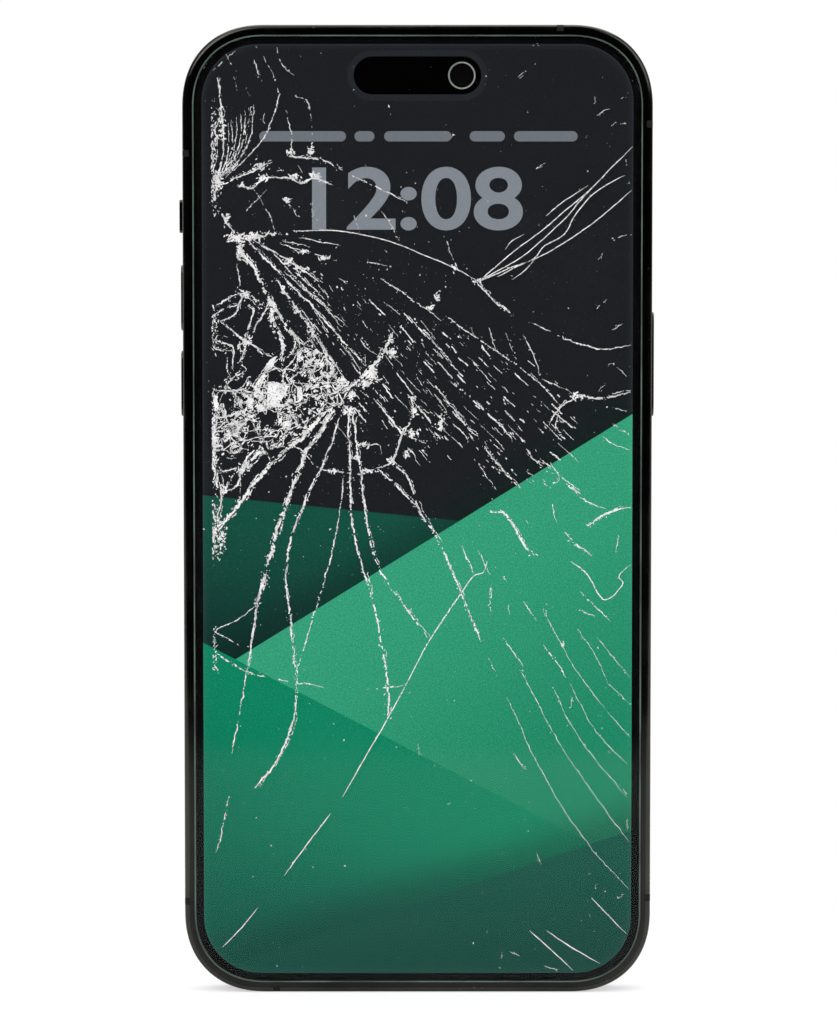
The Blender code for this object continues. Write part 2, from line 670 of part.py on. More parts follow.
def add_card_tray(steel, plastic, metal):
    """Tray with its card, flush in the left side, and the reader that it slides into."""
    step = (TRAY_WIDTH - TRAY_PLATE) / 2
    head_in = HALF_WIDTH - TRAY_HEAD
    tray_end = head_in - TRAY_REACH
    section = [
        (BUTTON_EDGE / 2, HALF_WIDTH),
        (0.0, HALF_WIDTH - BUTTON_EDGE / 2),
        (0.0, head_in),
        (step, head_in),
        (step, tray_end),
    ]
    place = on_side(-1, TRAY_Z)
    tray = loft("sim_tray", slot_outline(TRAY_LENGTH, TRAY_WIDTH), section, place, steel)
    card_x = -(tray_end + REST_GAP + (TRAY_REACH - REST_GAP) / 2)
    pocket = facing(card_x, TRAY_Z)
    pocket_front = MID_DEPTH - TRAY_PLATE / 2
    pocket_floor = pocket_front + CARD_THICKNESS + REST_GAP
    pocket_width = CARD_LENGTH + 2 * RUNNING_GAP
    pocket_height = CARD_WIDTH + 2 * RUNNING_GAP
    seat = rounded(pocket_width, pocket_height, RUNNING_GAP, steps=1)
    rim = 4 * READER_WALL
    window = rounded(pocket_width - rim, pocket_height - rim, READER_WALL, steps=2)
    pin = round_outline(TRAY_PIN_HOLE, HOLE_STEPS)
    pin_section = [(0.0, HALF_WIDTH + CUTTER_PROUD), (0.0, head_in + READER_WALL)]
    pin_place = on_side(-1, TRAY_Z + TRAY_LENGTH / 2 - TRAY_WIDTH / 2)
    cut(
        tray,
        slab("card_seat", seat, pocket_front - CUTTER_PROUD, pocket_floor, pocket),
        slab("card_window", window, pocket_front, pocket_floor + TRAY_PLATE, pocket),
        loft("tray_pin_hole", pin, pin_section, pin_place),
    )
    half_length = CARD_LENGTH / 2
    half_width = CARD_WIDTH / 2
    corner = CARD_WIDTH / 5
    card = [(-half_length, -half_width), (half_length, -half_width), (half_length, half_width)]
    card += [(corner - half_length, half_width), (-half_length, half_width - corner)]
    card_front = pocket_front + REST_GAP / 2
    plate("sim_card", card, card_front, card_front + CARD_THICKNESS, pocket, plastic)
    hollow = READER_WALL + RUNNING_GAP
    mouth = INNER_WALL_X - REST_GAP
    reader_end = tray_end - MODULE_GAP - READER_WALL
    cage = rounded(TRAY_LENGTH + 2 * hollow, TRAY_WIDTH + 2 * READER_WALL, READER_WALL, steps=2)
    reader_section = [
        (READER_WALL, reader_end + READER_WALL),
        (READER_WALL, mouth),
        (0.0, mouth),
        (0.0, reader_end),
    ]
    loft("sim_reader", cage, reader_section, place, metal)


def add_front_stack(materials):
    """Gasket, display panel and its metal backplate. The glass itself is made by add_front_glass."""
    middle = facing(0, BODY_HEIGHT / 2)
    outer = FRAME_LIP + HAIR_GAP
    inner = GLASS_INSET - HAIR_GAP
    rear = FRONT_LEDGE - REST_GAP
    gasket = [(outer, GASKET_SUNK), (inner, GASKET_SUNK), (inner, rear), (outer, rear)]
    loft("display_gasket", body_outline(), gasket, middle, materials["gasket"], ring=True)
    panel_section = [(PANEL_INSET, PANEL_FRONT), (PANEL_INSET, PANEL_FRONT + PANEL_THICKNESS)]
    outline = body_outline(INNER_STEPS)
    panel = loft("display_panel", outline, panel_section, middle, materials["screen"])
    eye = round_outline(FRONT_CAMERA_DIAMETER + 2 * MODULE_GAP)
    sensor = slot_outline(FACE_SENSOR_WIDTH + 2 * MODULE_GAP, FACE_SENSOR_HEIGHT + 2 * MODULE_GAP)
    near = PANEL_FRONT - CUTTER_PROUD
    far = BACKPLATE_FRONT + BACKPLATE_THICKNESS + CUTTER_PROUD
    cut(
        panel,
        slab("panel_camera_hole", eye, near, far, facing(CAMERA_OFFSET, ISLAND_Z)),
        slab("panel_sensor_hole", sensor, near, far, facing(-island_sensor_x(), ISLAND_Z)),
    )
    backplate_inset = PANEL_INSET + BACKPLATE_MARGIN
    rear = BACKPLATE_FRONT + BACKPLATE_THICKNESS
    backplate_section = [(backplate_inset, BACKPLATE_FRONT), (backplate_inset, rear)]
    backplate = loft("display_backplate", outline, backplate_section, middle, materials["steel"])
    cut(
        backplate,
        slab("plate_camera_hole", eye, near, far, facing(CAMERA_OFFSET, ISLAND_Z)),
        slab("plate_sensor_hole", sensor, near, far, facing(-island_sensor_x(), ISLAND_Z)),
    )


def island_sensor_x():
    """Distance of the face sensor's middle to the left of the phone's middle."""
    return FACE_SENSOR_WIDTH / 2 - CAMERA_OFFSET + FRONT_CAMERA_DIAMETER / 2 + ISLAND_SPACING


def add_top_modules(materials):
    """Front camera, face sensor and earpiece behind the top of the screen."""
    place = facing(CAMERA_OFFSET, ISLAND_Z)
    front = PANEL_FRONT
    back = front + FRONT_CAMERA_LENGTH
    wall = FRONT_CAMERA_WALL
    barrel_section = [(wall, back - wall), (wall, front), (0.0, front), (0.0, back)]
    barrel = round_outline(FRONT_CAMERA_DIAMETER)
    loft("front_camera", barrel, barrel_section, place, materials["ring"])
    lens = round_outline(FRONT_CAMERA_DIAMETER - 2 * wall - 2 * RUNNING_GAP)
    lens_front = front + wall
    lens_section = [
        (FRONT_LENS_DOME, lens_front),
        (FRONT_LENS_DOME / 3, lens_front + wall),
        (0.0, lens_front + 2 * wall),
        (0.0, back - wall - REST_GAP),
    ]
    loft("front_camera_lens", lens, lens_section, place, materials["lens"])
    sensor_x = -island_sensor_x()
    sensor = slot_outline(FACE_SENSOR_WIDTH, FACE_SENSOR_HEIGHT)
    block = slab("face_sensor", sensor, front, back, facing(sensor_x, ISLAND_Z), materials["black"])
    eyes = []
    for side in (-1, 1):
        eye = round_outline(FACE_SENSOR_EYE, HOLE_STEPS)
        eye_x = sensor_x + side * (FACE_SENSOR_WIDTH - FACE_SENSOR_HEIGHT) / 2
        eye_place = facing(eye_x, ISLAND_Z)
        eyes.append(slab("face_sensor_eye", eye, front - CUTTER_PROUD, front + wall, eye_place))
    cut(block, *eyes)
    mesh_outline = slot_outline(EARPIECE_WIDTH - 2 * HAIR_GAP, EARPIECE_SLOT - 2 * HAIR_GAP, HOLE_STEPS)
    mesh_z = BODY_HEIGHT - FRAME_LIP + EARPIECE_SLOT
    mesh_front = GLASS_PROUD + GASKET_SUNK
    mesh_place = facing(0, mesh_z)
    mesh_rear = FRONT_LEDGE - REST_GAP
    slab("earpiece_mesh", mesh_outline, mesh_front, mesh_rear, mesh_place, materials["black"])
    speaker_top = BODY_HEIGHT - FRAME_WALL - MODULE_GAP
    speaker_bottom = ISLAND_Z + FACE_SENSOR_HEIGHT / 2 + MODULE_GAP
    speaker_height = min(EARPIECE_SPEAKER_HEIGHT, speaker_top - speaker_bottom)
    speaker = rounded(EARPIECE_WIDTH, speaker_height, RING_STEM, steps=3)
    speaker_place = facing(0, speaker_top - speaker_height / 2)
    speaker_rear = BAY_FRONT + EARPIECE_SPEAKER_DEPTH
    black = materials["black"]
    slab("earpiece_speaker", speaker, BAY_FRONT, speaker_rear, speaker_place, black, BUTTON_EDGE)


def lens_places():
    """Name and middle of each rear lens."""
    near_edge = PLATEAU_X + LENS_SPREAD
    return (
        ("wide", near_edge, PLATEAU_Z + LENS_COLUMN / 2),
        ("main", near_edge, PLATEAU_Z - LENS_COLUMN / 2),
        ("tele", PLATEAU_X - LENS_SPREAD, PLATEAU_Z),
    )


def window_places():
    """Name and middle of the flash and depth sensor windows."""
    x = PLATEAU_X - LENS_SPREAD
    return (
        ("flash", x, PLATEAU_Z + WINDOW_SPREAD),
        ("depth_sensor", x, PLATEAU_Z - WINDOW_SPREAD),
    )


def add_rear_glass(material):
    """One milled sheet of glass with the camera plateau raised out of it."""
    middle = facing(0, BODY_HEIGHT / 2)
    inset = REAR_LIP + HAIR_GAP
    front = BODY_DEPTH - REAR_GLASS
    section = [
        (inset, front),
        (inset, BODY_DEPTH - REAR_GLASS_EDGE),
        (inset + REAR_GLASS_EDGE, BODY_DEPTH),
    ]
    glass = loft("rear_glass", body_outline(), section, middle, material)
    plateau = rounded(PLATEAU_WIDTH, PLATEAU_HEIGHT, PLATEAU_RADIUS, CORNER_SQUARENESS)
    root = front + REAR_GLASS / 2
    rise = [
        (0.0, root),
        (0.0, PLATEAU_FACE - PLATEAU_SLOPE),
        (PLATEAU_KNEE, PLATEAU_FACE - PLATEAU_KNEE),
        (PLATEAU_SLOPE, PLATEAU_FACE),
    ]
    place = facing(PLATEAU_X, PLATEAU_Z)
    fuse(glass, loft("plateau", plateau, rise, place))
    near = front - CUTTER_PROUD
    far = PLATEAU_FACE + CUTTER_PROUD
    hollow = rounded(PLATEAU_WIDTH, PLATEAU_HEIGHT, PLATEAU_RADIUS, CORNER_SQUARENESS, 4)
    hollow_section = [(2 * REAR_GLASS, near), (2 * REAR_GLASS, PLATEAU_FACE - REAR_GLASS)]
    holes = [loft("plateau_hollow", hollow, hollow_section, place)]
    barrel = LENS_RING_DIAMETER - 2 * LENS_RING_WALL + 2 * HAIR_GAP
    for _, x, z in lens_places():
        holes.append(slab("lens_hole", round_outline(barrel), near, far, facing(x, z)))
    for _, x, z in window_places():
        window = round_outline(WINDOW_DIAMETER + 2 * HAIR_GAP)
        holes.append(slab("window_hole", window, near, far, facing(x, z)))
    microphone = round_outline(REAR_MICROPHONE, HOLE_STEPS)
    microphone_x = PLATEAU_X - REAR_MICROPHONE_X
    microphone_z = PLATEAU_Z + WINDOW_SPREAD
    holes.append(slab("microphone_hole", microphone, near, far, facing(microphone_x, microphone_z)))
    return cut(glass, *holes)


def add_rear_cameras(materials):
    """For each rear lens: the metal ring, the clear cover and the module behind it."""
    ring_outline = round_outline(LENS_RING_DIAMETER)
    wall = LENS_RING_WALL
    seat = PLATEAU_FACE + REST_GAP
    barrel_front = PLATEAU_FACE - REAR_GLASS
    cover_rear = RING_FACE - LENS_COVER_SUNK
    cover_front = cover_rear - LENS_COVER_THICKNESS
    shelf = wall + LENS_COVER_THICKNESS
    section = [
        (0.0, seat),
        (0.0, RING_FACE - LENS_RING_EDGE),
        (LENS_RING_EDGE, RING_FACE),
        (wall, RING_FACE),
        (wall, cover_front - REST_GAP),
        (shelf, cover_front - REST_GAP),
        (shelf, barrel_front),
        (wall, barrel_front),
        (wall, seat),
    ]
    cover = round_outline(LENS_RING_DIAMETER - 2 * wall - 2 * HAIR_GAP)
    clear = LENS_RING_DIAMETER / 2 - shelf - MODULE_GAP
    barrel = round_outline(min(MODULE_BARREL, 2 * clear))
    base = rounded(MODULE_BASE, MODULE_BASE, RING_STEM, steps=2)
    barrel_rear = cover_front - 2 * REST_GAP
    cutters = []
    for name, x, z in lens_places():
        place = facing(x, z)
        loft(f"camera_ring_{name}", ring_outline, section, place, materials["steel"], ring=True)
        slab(f"camera_cover_{name}", cover, cover_front, cover_rear, place, materials["cover"])
        module = slab(f"camera_module_{name}", base, BAY_FRONT, CAGE_DEPTH, place, materials["black"])
        fuse(module, slab("module_barrel", barrel, CAGE_DEPTH - REST_GAP, barrel_rear, place))
        gap = round_outline(min(MODULE_BARREL, 2 * clear) + 2 * MODULE_GAP)
        cutters.append(slab("cage_hole", gap, BAY_FRONT, PLATEAU_FACE, place))
    cage_width = PLATEAU_WIDTH - 2 * CAGE_MARGIN
    cage_height = PLATEAU_HEIGHT - 2 * CAGE_MARGIN
    cage = rounded(cage_width, cage_height, PLATEAU_RADIUS, CORNER_SQUARENESS, steps=4)
    cage_front = CAGE_DEPTH + REST_GAP
    cage_place = facing(PLATEAU_X, PLATEAU_Z)
    cage_rear = cage_front + CAGE_THICKNESS
    sheet = slab("camera_cage", cage, cage_front, cage_rear, cage_place, materials["metal"])
    cut(sheet, *cutters)
    for name, x, z in window_places():
        place = facing(x, z)
        window = round_outline(WINDOW_DIAMETER)
        window_front = PLATEAU_FACE - WINDOW_THICKNESS
        slab(f"{name}_window", window, window_front, PLATEAU_FACE, place, materials["cover"], REST_GAP)
        module = round_outline(WINDOW_DIAMETER - 2 * MODULE_GAP)
        module_front = cage_rear + REST_GAP
        module_rear = window_front - REST_GAP
        slab(f"{name}_module", module, module_front, module_rear, place, materials["emitter"])


def add_chassis(materials):
    """Inner plate with its openings, the coil and magnets in its round hole, and the battery."""
    middle = facing(0, BODY_HEIGHT / 2)
    inset = FRAME_WALL + REST_GAP
    section = [(inset, CHASSIS_FRONT), (inset, CHASSIS_REAR)]
    chassis = loft("chassis_plate", body_outline(), section, middle, materials["metal"])
    near = CHASSIS_FRONT - CUTTER_PROUD
    far = CHASSIS_REAR + CUTTER_PROUD
    steps = COIL_STEPS
    camera_width = PLATEAU_WIDTH - 2 * REAR_GLASS
    camera_height = PLATEAU_HEIGHT - 2 * REAR_GLASS
    camera = rounded(camera_width, camera_height, PLATEAU_RADIUS / 2, steps=3)
    cut(
        chassis,
        slab("coil_opening", round_outline(COIL_HOLE, steps), near, far, facing(0, COIL_Z)),
        slab("camera_opening", camera, near, far, facing(PLATEAU_X, PLATEAU_Z)),
    )
    rear = CHASSIS_REAR
    front = rear - COIL_THICKNESS
    magnets = round_outline(COIL_HOLE - 2 * MODULE_GAP, steps)
    magnet_section = [(0.0, front), (0.0, rear), (MAGNET_WIDTH, rear), (MAGNET_WIDTH, front)]
    loft("magnet_ring", magnets, magnet_section, facing(0, COIL_Z), materials["metal"], ring=True)
    coil_outer = min(COIL_OUTER, COIL_HOLE - 2 * MAGNET_WIDTH - 4 * MODULE_GAP)
    turn = (coil_outer - COIL_INNER) / 2
    coil_section = [(0.0, front), (0.0, rear), (turn, rear), (turn, front)]
    coil = round_outline(coil_outer, steps)
    loft("charging_coil", coil, coil_section, facing(0, COIL_Z), materials["copper"], ring=True)
    cell = rounded(BATTERY_WIDTH, BATTERY_HEIGHT, BATTERY_EDGE * 2, steps=3)
    place = facing(BATTERY_X, BATTERY_Z)
    front = BATTERY_REAR - BATTERY_THICKNESS
    slab("battery", cell, front, BATTERY_REAR, place, materials["black"], BATTERY_EDGE)
    strip = rounded(ADHESIVE_WIDTH, BATTERY_HEIGHT - 4 * BATTERY_EDGE, BATTERY_EDGE, steps=2)
    glue_front = BATTERY_REAR + REST_GAP / 2
    glue_rear = glue_front + ADHESIVE_THICKNESS
    for name, side in (("left", -1), ("right", 1)):
        x = BATTERY_X + side * (BATTERY_WIDTH / 2 - ADHESIVE_WIDTH)
        strip_place = facing(x, BATTERY_Z)
        slab(f"battery_adhesive_{name}", strip, glue_front, glue_rear, strip_place, materials["tape"])


def add_lower_modules(materials):
    """Haptic motor, loudspeaker and microphone on both sides of the port."""
    rear = BAY_REAR
    front = rear - LOWER_MODULE_THICKNESS
    z = LOWER_FLOOR + LOWER_MODULE_HEIGHT / 2
    port_clear = SCREW_SPREAD + SCREW_HEAD / 2 + MODULE_GAP
    microphone = rounded(MICROPHONE_SIZE, MICROPHONE_SIZE, BATTERY_EDGE, steps=2)
    microphone_x = -port_clear - MICROPHONE_SIZE / 2
    microphone_place = facing(microphone_x, LOWER_FLOOR + MICROPHONE_SIZE / 2)
    slab("bottom_microphone", microphone, front, rear, microphone_place, materials["gold"])
    haptic_near = -microphone_x + MICROPHONE_SIZE / 2 + MODULE_GAP
    haptic_far = INNER_WALL_X - HAPTIC_SIDE_GAP
    haptic_x = -(haptic_near + haptic_far) / 2
    haptic = rounded(haptic_far - haptic_near, LOWER_MODULE_HEIGHT, LOWER_MODULE_RADIUS, steps=3)
    slab("haptic_motor", haptic, front, rear, facing(haptic_x, z), materials["steel"], BUTTON_EDGE)
    speaker_far = INNER_WALL_X - SPEAKER_SIDE_GAP
    speaker_x = (port_clear + speaker_far) / 2
    speaker = rounded(speaker_far - port_clear, LOWER_MODULE_HEIGHT, LOWER_MODULE_RADIUS, steps=3)
    slab("loudspeaker", speaker, front, rear, facing(speaker_x, z), materials["black"], BUTTON_EDGE)


def add_logic_board(materials):
    """Board beside the battery, its shields, and the two flexes that meet it."""
    half = BOARD_WIDTH / 2
    left = BOARD_X - half
    right = BOARD_X + half
    notch = half / 2
    corners = [
        (left, BOARD_BOTTOM),
        (right, BOARD_BOTTOM),
        (right, BOARD_TOP - notch),
        (right - notch, BOARD_TOP),
        (left + notch, BOARD_TOP),
        (left, BOARD_TOP - notch),
    ]
    rear = BOARD_FRONT + BOARD_THICKNESS
    plate("logic_board", corners, BOARD_FRONT, rear, facing(), materials["board"])
    shield_bottom = TRAY_Z + TRAY_LENGTH / 2 + 3 * MODULE_GAP + FLEX_WIDTH
    shield_height = BOARD_TOP - notch - shield_bottom
    shield = rounded(BOARD_WIDTH - 2 * RING_STEM, shield_height, RING_STEM, steps=2)
    shield_rear = BOARD_FRONT - REST_GAP
    shield_place = facing(BOARD_X, shield_bottom + shield_height / 2)
    shield_front = shield_rear - SHIELD_THICKNESS
    slab("board_shield", shield, shield_front, shield_rear, shield_place, materials["metal"], BUTTON_EDGE)
    cover = rounded(BOARD_WIDTH - 2 * RING_STEM, FLEX_WIDTH, RING_STEM, steps=2)
    cover_place = facing(BOARD_X, shield_bottom - FLEX_WIDTH / 2 - MODULE_GAP)
    slab("connector_cover", cover, shield_front, shield_rear, cover_place, materials["steel"], BUTTON_EDGE)
    flex_rear = BOARD_FRONT - REST_GAP
    flex_x = BOARD_X - half / 2
    dock_bottom = LOWER_FLOOR + LOWER_MODULE_HEIGHT + MODULE_GAP
    strip = [
        (flex_x, dock_bottom),
        (flex_x + FLEX_WIDTH, dock_bottom),
        (flex_x + FLEX_WIDTH, BOARD_BOTTOM + FLEX_WIDTH),
        (flex_x, BOARD_BOTTOM + FLEX_WIDTH),
    ]
    plate("dock_flex", strip, flex_rear - FLEX_THICKNESS, flex_rear, facing(), materials["tape"])
    display_rear = shield_front - REST_GAP
    display_z = shield_bottom + shield_height / 2
    ribbon = rounded(BOARD_WIDTH - 4 * RING_STEM, 2 * FLEX_WIDTH, RING_STEM, steps=2)
    ribbon_front = display_rear - FLEX_THICKNESS
    slab("display_flex", ribbon, ribbon_front, display_rear, facing(BOARD_X, display_z), materials["tape"])


@dataclass(frozen=True)
class Crack:
    """One fracture in the glass: its width at the surface and its route in millimetres."""

    width: float
    route: tuple


# Routes across the phone, (x, z) in millimetres on a body of the drawn size
DRAWN_WIDTH = 77.6
DRAWN_HEIGHT = 160.7
WIDE = 0.62 * MM
FIRM = 0.46 * MM
FINE = 0.3 * MM

# Cracks that run down from the main impact
DOWN_CRACKS = (
    Crack(
        WIDE,
        ((-11.5, 98.5), (-16, 95), (-20, 91.7), (-24, 88.7), (-27, 85.5), (-30.5, 80.5), (-33.4, 74)),
    ),
    Crack(
        WIDE,
        ((-12.5, 98.5), (-16, 92.5), (-18.5, 89), (-22.5, 80.5), (-25, 72.5), (-26.6, 65), (-28.2, 54.5)),
    ),
    Crack(FINE, ((-28.2, 54.5), (-29.2, 48.5), (-30.8, 40))),
    Crack(WIDE, ((-12, 98), (-14.5, 90.5), (-18.5, 82), (-21.6, 73.5), (-22, 70))),
    Crack(FIRM, ((-22, 70), (-21, 61), (-20.3, 54), (-20.4, 46.7), (-23.2, 39.3), (-27.2, 33.8))),
    Crack(FINE, ((-12.2, 86.5), (-13.4, 77), (-16, 67), (-20.2, 54))),
    Crack(FIRM, ((-11.4, 97.5), (-11.2, 86), (-10.4, 76), (-7, 64), (-4.9, 51), (-4.9, 46))),
    Crack(FIRM, ((-10.6, 97), (-9.2, 85), (-7, 72.5), (-3, 66), (1.9, 59.3))),
    Crack(
        FINE,
        ((11.5, 71.2), (10, 69.4), (9.4, 69.7), (7.2, 66.8), (1.9, 59.3), (-4.9, 45.8), (-12.5, 32.8)),
    ),
    Crack(FINE, ((-14.5, 30), (-22.2, 19.6))),
    Crack(FIRM, ((-4.2, 88.6), (-1.6, 85.9), (0.7, 80), (3.6, 75.4), (7.2, 66.8), (10.8, 58.4))),
    Crack(FIRM, ((-6.6, 87.6), (-3, 84.3), (0.7, 80))),
    Crack(FINE, ((7.3, 74.8), (9.4, 69.7))),
    Crack(FINE, ((10, 74), (12.1, 70))),
    Crack(FIRM, ((-25, 90.4), (-30, 88.2), (-33.6, 86))),
    Crack(FINE, ((-32.6, 84), (-33, 90), (-33.6, 100))),
)

# Cracks that ring the main impact or join the long ones
RING_CRACKS = (
    Crack(FINE, ((-25, 90.4), (-24, 88.7), (-20.2, 91.3), (-16.2, 87.7), (-10, 86.6), (-6.6, 87.6))),
    Crack(FIRM, ((-6.6, 87.6), (-4.2, 88.8), (-2.4, 93.4), (-0.8, 96), (-1, 99))),
    Crack(FINE, ((-26.8, 64.8), (-30, 62.4), (-33.4, 60.4), (-29.3, 58.2))),
    Crack(FINE, ((-33.4, 56.8), (-28.3, 53.8), (-22, 52.2), (-15.6, 51.2))),
    Crack(FINE, ((-8.5, 50.8), (-5, 51), (-1.8, 51.7))),
)

# Cracks from the upper left star towards the lower right
FAN_CRACKS = (
    Crack(WIDE, ((-29.6, 125), (-27.3, 121), (-24.8, 117), (-21, 110.8), (-19.8, 107))),
    Crack(FIRM, ((-28, 125.4), (-23.5, 120.6), (-17.5, 114.5), (-12, 108.2), (-10.4, 106.6))),
    Crack(FIRM, ((-27, 125.2), (-21, 121.8), (-15.6, 118))),
    Crack(FIRM, ((-23.2, 118.8), (-20, 114), (-17.5, 110.6), (-14.6, 106), (-12.6, 103.2))),
    Crack(FINE, ((-22, 120.2), (-16.5, 115.4), (-11.5, 111))),
    Crack(FINE, ((-24, 123.6), (-20, 119), (-14, 113.6))),
    Crack(FINE, ((-6, 119), (-0.5, 115.2), (1.8, 113.8), (4, 112))),
    Crack(FINE, ((4.6, 112.8), (9.8, 109.2), (15.4, 105.4), (20, 101.9), (23.8, 97.8))),
    Crack(FINE, ((-0.5, 111.4), (3.6, 107.4), (5.6, 105))),
    Crack(FIRM, ((6, 106.4), (9.8, 102), (12, 100))),
    Crack(FIRM, ((6.2, 101.8), (11, 97.3), (15, 93.3), (15.8, 92))),
    Crack(FIRM, ((3.8, 100.2), (7, 96), (10.2, 92.7))),
    Crack(FIRM, ((-7, 98.8), (-4.4, 95.6), (-2.4, 93.4), (1.4, 91.8))),
)

# Cracks of the upper left corner and the cells under it
CORNER_CRACKS = (
    Crack(
        FINE,
        ((-26.5, 157.3), (-24, 152.8), (-22.8, 149.3), (-24.2, 144.7), (-26.2, 141), (-31.6, 135.6)),
    ),
    Crack(FINE, ((-23.2, 157), (-22.6, 154.6), (-20.4, 152.3))),
    Crack(FINE, ((-21.7, 146.7), (-20.7, 142), (-20.9, 139))),
    Crack(FINE, ((-20.2, 149), (-18, 147.7), (-17.4, 142), (-17.6, 139))),
    Crack(FIRM, ((-21.1, 139), (-18.4, 138.8), (-16, 138.5), (-12.3, 136.9))),
    Crack(FIRM, ((-33, 134), (-30, 135.6), (-25.8, 137.2), (-24, 138.3))),
    Crack(
        FIRM,
        ((-29.2, 134.2), (-27.2, 134), (-25, 135.5), (-21, 135.4), (-19, 134.6), (-17.4, 135.6), (-14, 134.4)),
    ),
    Crack(FINE, ((-27.2, 134), (-24.5, 129.5), (-23.6, 127))),
    Crack(FINE, ((-28.8, 129.6), (-24.8, 133.6))),
    Crack(
        FIRM,
        ((-33, 152), (-32.2, 146), (-32, 140), (-33.2, 134), (-33.4, 132), (-31.4, 128), (-29, 125.6)),
    ),
    Crack(FINE, ((-31.4, 138), (-28.8, 141.4), (-28.2, 144.6))),
    Crack(FINE, ((-32, 136), (-29.8, 137.8), (-28.4, 140.5))),
    Crack(FIRM, ((-29.9, 121.5), (-29.4, 117), (-25.4, 114.6))),
    Crack(FIRM, ((-33.5, 114.4), (-31, 115.4), (-29.2, 116.6))),
    Crack(FINE, ((-33.2, 113.2), (-29.6, 114.5), (-28.8, 116.2))),
    Crack(FINE, ((-32.6, 112), (-30, 113.2), (-29.6, 114.5))),
    Crack(FIRM, ((-33.3, 113), (-28.2, 108.6), (-23.6, 106))),
    Crack(FIRM, ((-26.4, 114), (-28, 110.2), (-28.2, 108.6), (-30.4, 104), (-33.6, 100.6))),
    Crack(FINE, ((-24.4, 115), (-26.4, 112), (-27.2, 110.6))),
)

# Long arc across the clock and the cracks that leave its node
ARC_CRACKS = (
    Crack(WIDE, ((-32, 125), (-29, 125.6), (-25, 126), (-18, 124.4), (-15, 122.8))),
    Crack(FIRM, ((-20.2, 126.8), (-14, 126.9), (-9.5, 126.3), (-4, 124.9), (3.2, 121.4), (9.8, 118.4))),
    Crack(FIRM, ((9.8, 118.4), (12.5, 115.4), (16, 112.8))),
    Crack(FINE, ((18.9, 111.6), (24, 109.3), (28, 107.7), (32, 107.3), (35.2, 108.1))),
    Crack(FINE, ((-10.4, 129.4), (-9.5, 126.3))),
    Crack(FIRM, ((9.8, 118.4), (14, 121.9), (20, 126.3), (28, 133.6), (35.2, 140.2))),
    Crack(FINE, ((12.8, 119.2), (16, 121.2), (20, 124.4), (24, 128.2), (28.6, 133.8))),
    Crack(FIRM, ((10.4, 118.6), (14, 119.5), (20, 122.4), (28, 127.5), (35.2, 133.1))),
    Crack(FINE, ((24.6, 127.5), (26.4, 130.4), (29, 133), (33.8, 135.6))),
    Crack(FINE, ((21.3, 129), (25, 131.9), (30, 135.2))),
)

# Cracks of the right side and the lower right corner
RIGHT_CRACKS = (
    Crack(FINE, ((20.6, 102.4), (23, 101.2), (25.6, 100))),
    Crack(FIRM, ((21.7, 94.8), (23.8, 97.8), (27, 99.6), (30, 99.1), (35.2, 100.3))),
    Crack(FINE, ((23.4, 97), (22.7, 93.8), (23.6, 93))),
    Crack(FIRM, ((11, 91.2), (14, 87.4), (17, 84.3))),
    Crack(FIRM, ((18, 90.8), (19, 89.2), (20.8, 88))),
    Crack(FINE, ((24.5, 85.2), (28, 82.2), (31.4, 80.8))),
    Crack(FIRM, ((28.2, 78), (32, 80.4), (35.2, 81.2))),
    Crack(FIRM, ((24.4, 77), (26.2, 75), (28.8, 73))),
    Crack(FINE, ((27, 71), (29.5, 68.2), (31, 65.8), (34, 68.2), (33.4, 69.6), (34.8, 71.6))),
    Crack(FIRM, ((12, 80.3), (14.5, 80), (17.6, 75), (19.2, 73))),
    Crack(FINE, ((16.9, 54.5), (20, 47.5), (24.5, 38.8), (28, 33.5))),
    Crack(FINE, ((15, 49), (18, 42), (22.5, 34), (28, 26), (31, 21.6), (35.3, 17))),
    Crack(FINE, ((22.2, 51), (26, 43.8), (31, 37), (35.3, 32.3))),
    Crack(FINE, ((24.5, 53), (29, 44.6), (34.3, 38.4))),
    Crack(FINE, ((29.8, 58.4), (35, 52.8))),
    Crack(FINE, ((28.8, 16), (34.6, 9.8))),
    Crack(FIRM, ((18.2, 10.4), (22, 7), (25.7, 3.6))),
    Crack(FINE, ((21.5, 10.6), (25, 8), (30.4, 4.8))),
)

# Middles and radii of the places where the glass is crushed or chipped away, in millimetres
CRUSHED = (
    (-17, 101, 6.5),
    (-24, 99, 5.5),
    (-29.5, 96, 4.5),
    (-21.5, 94.5, 4.5),
    (-30, 91, 3.5),
    (-28.8, 125.2, 2.0),
)
CHIPS = (
    (-22.8, 99.9, 2.4),
    (-20.9, 94.8, 1.2),
    (-6.8, 103.2, 1.5),
    (-4.6, 106.6, 1.0),
    (-0.9, 99.2, 0.7),
    (-0.5, 96.8, 0.9),
    (-10.8, 99, 1.3),
    (-24.4, 104.8, 1.2),
    (9.6, 118.5, 0.8),
    (6.3, 120.3, 0.6),
    (1.9, 113.7, 0.6),
    (3.2, 115.4, 0.7),
    (9, 94, 0.7),
    (-23.4, 125.8, 0.6),
)


def on_glass(x, z):
    """Place of a drawn point on the phone, as metres from its middle line and its base."""
    return Vector((x * BODY_WIDTH / DRAWN_WIDTH, z * BODY_HEIGHT / DRAWN_HEIGHT))


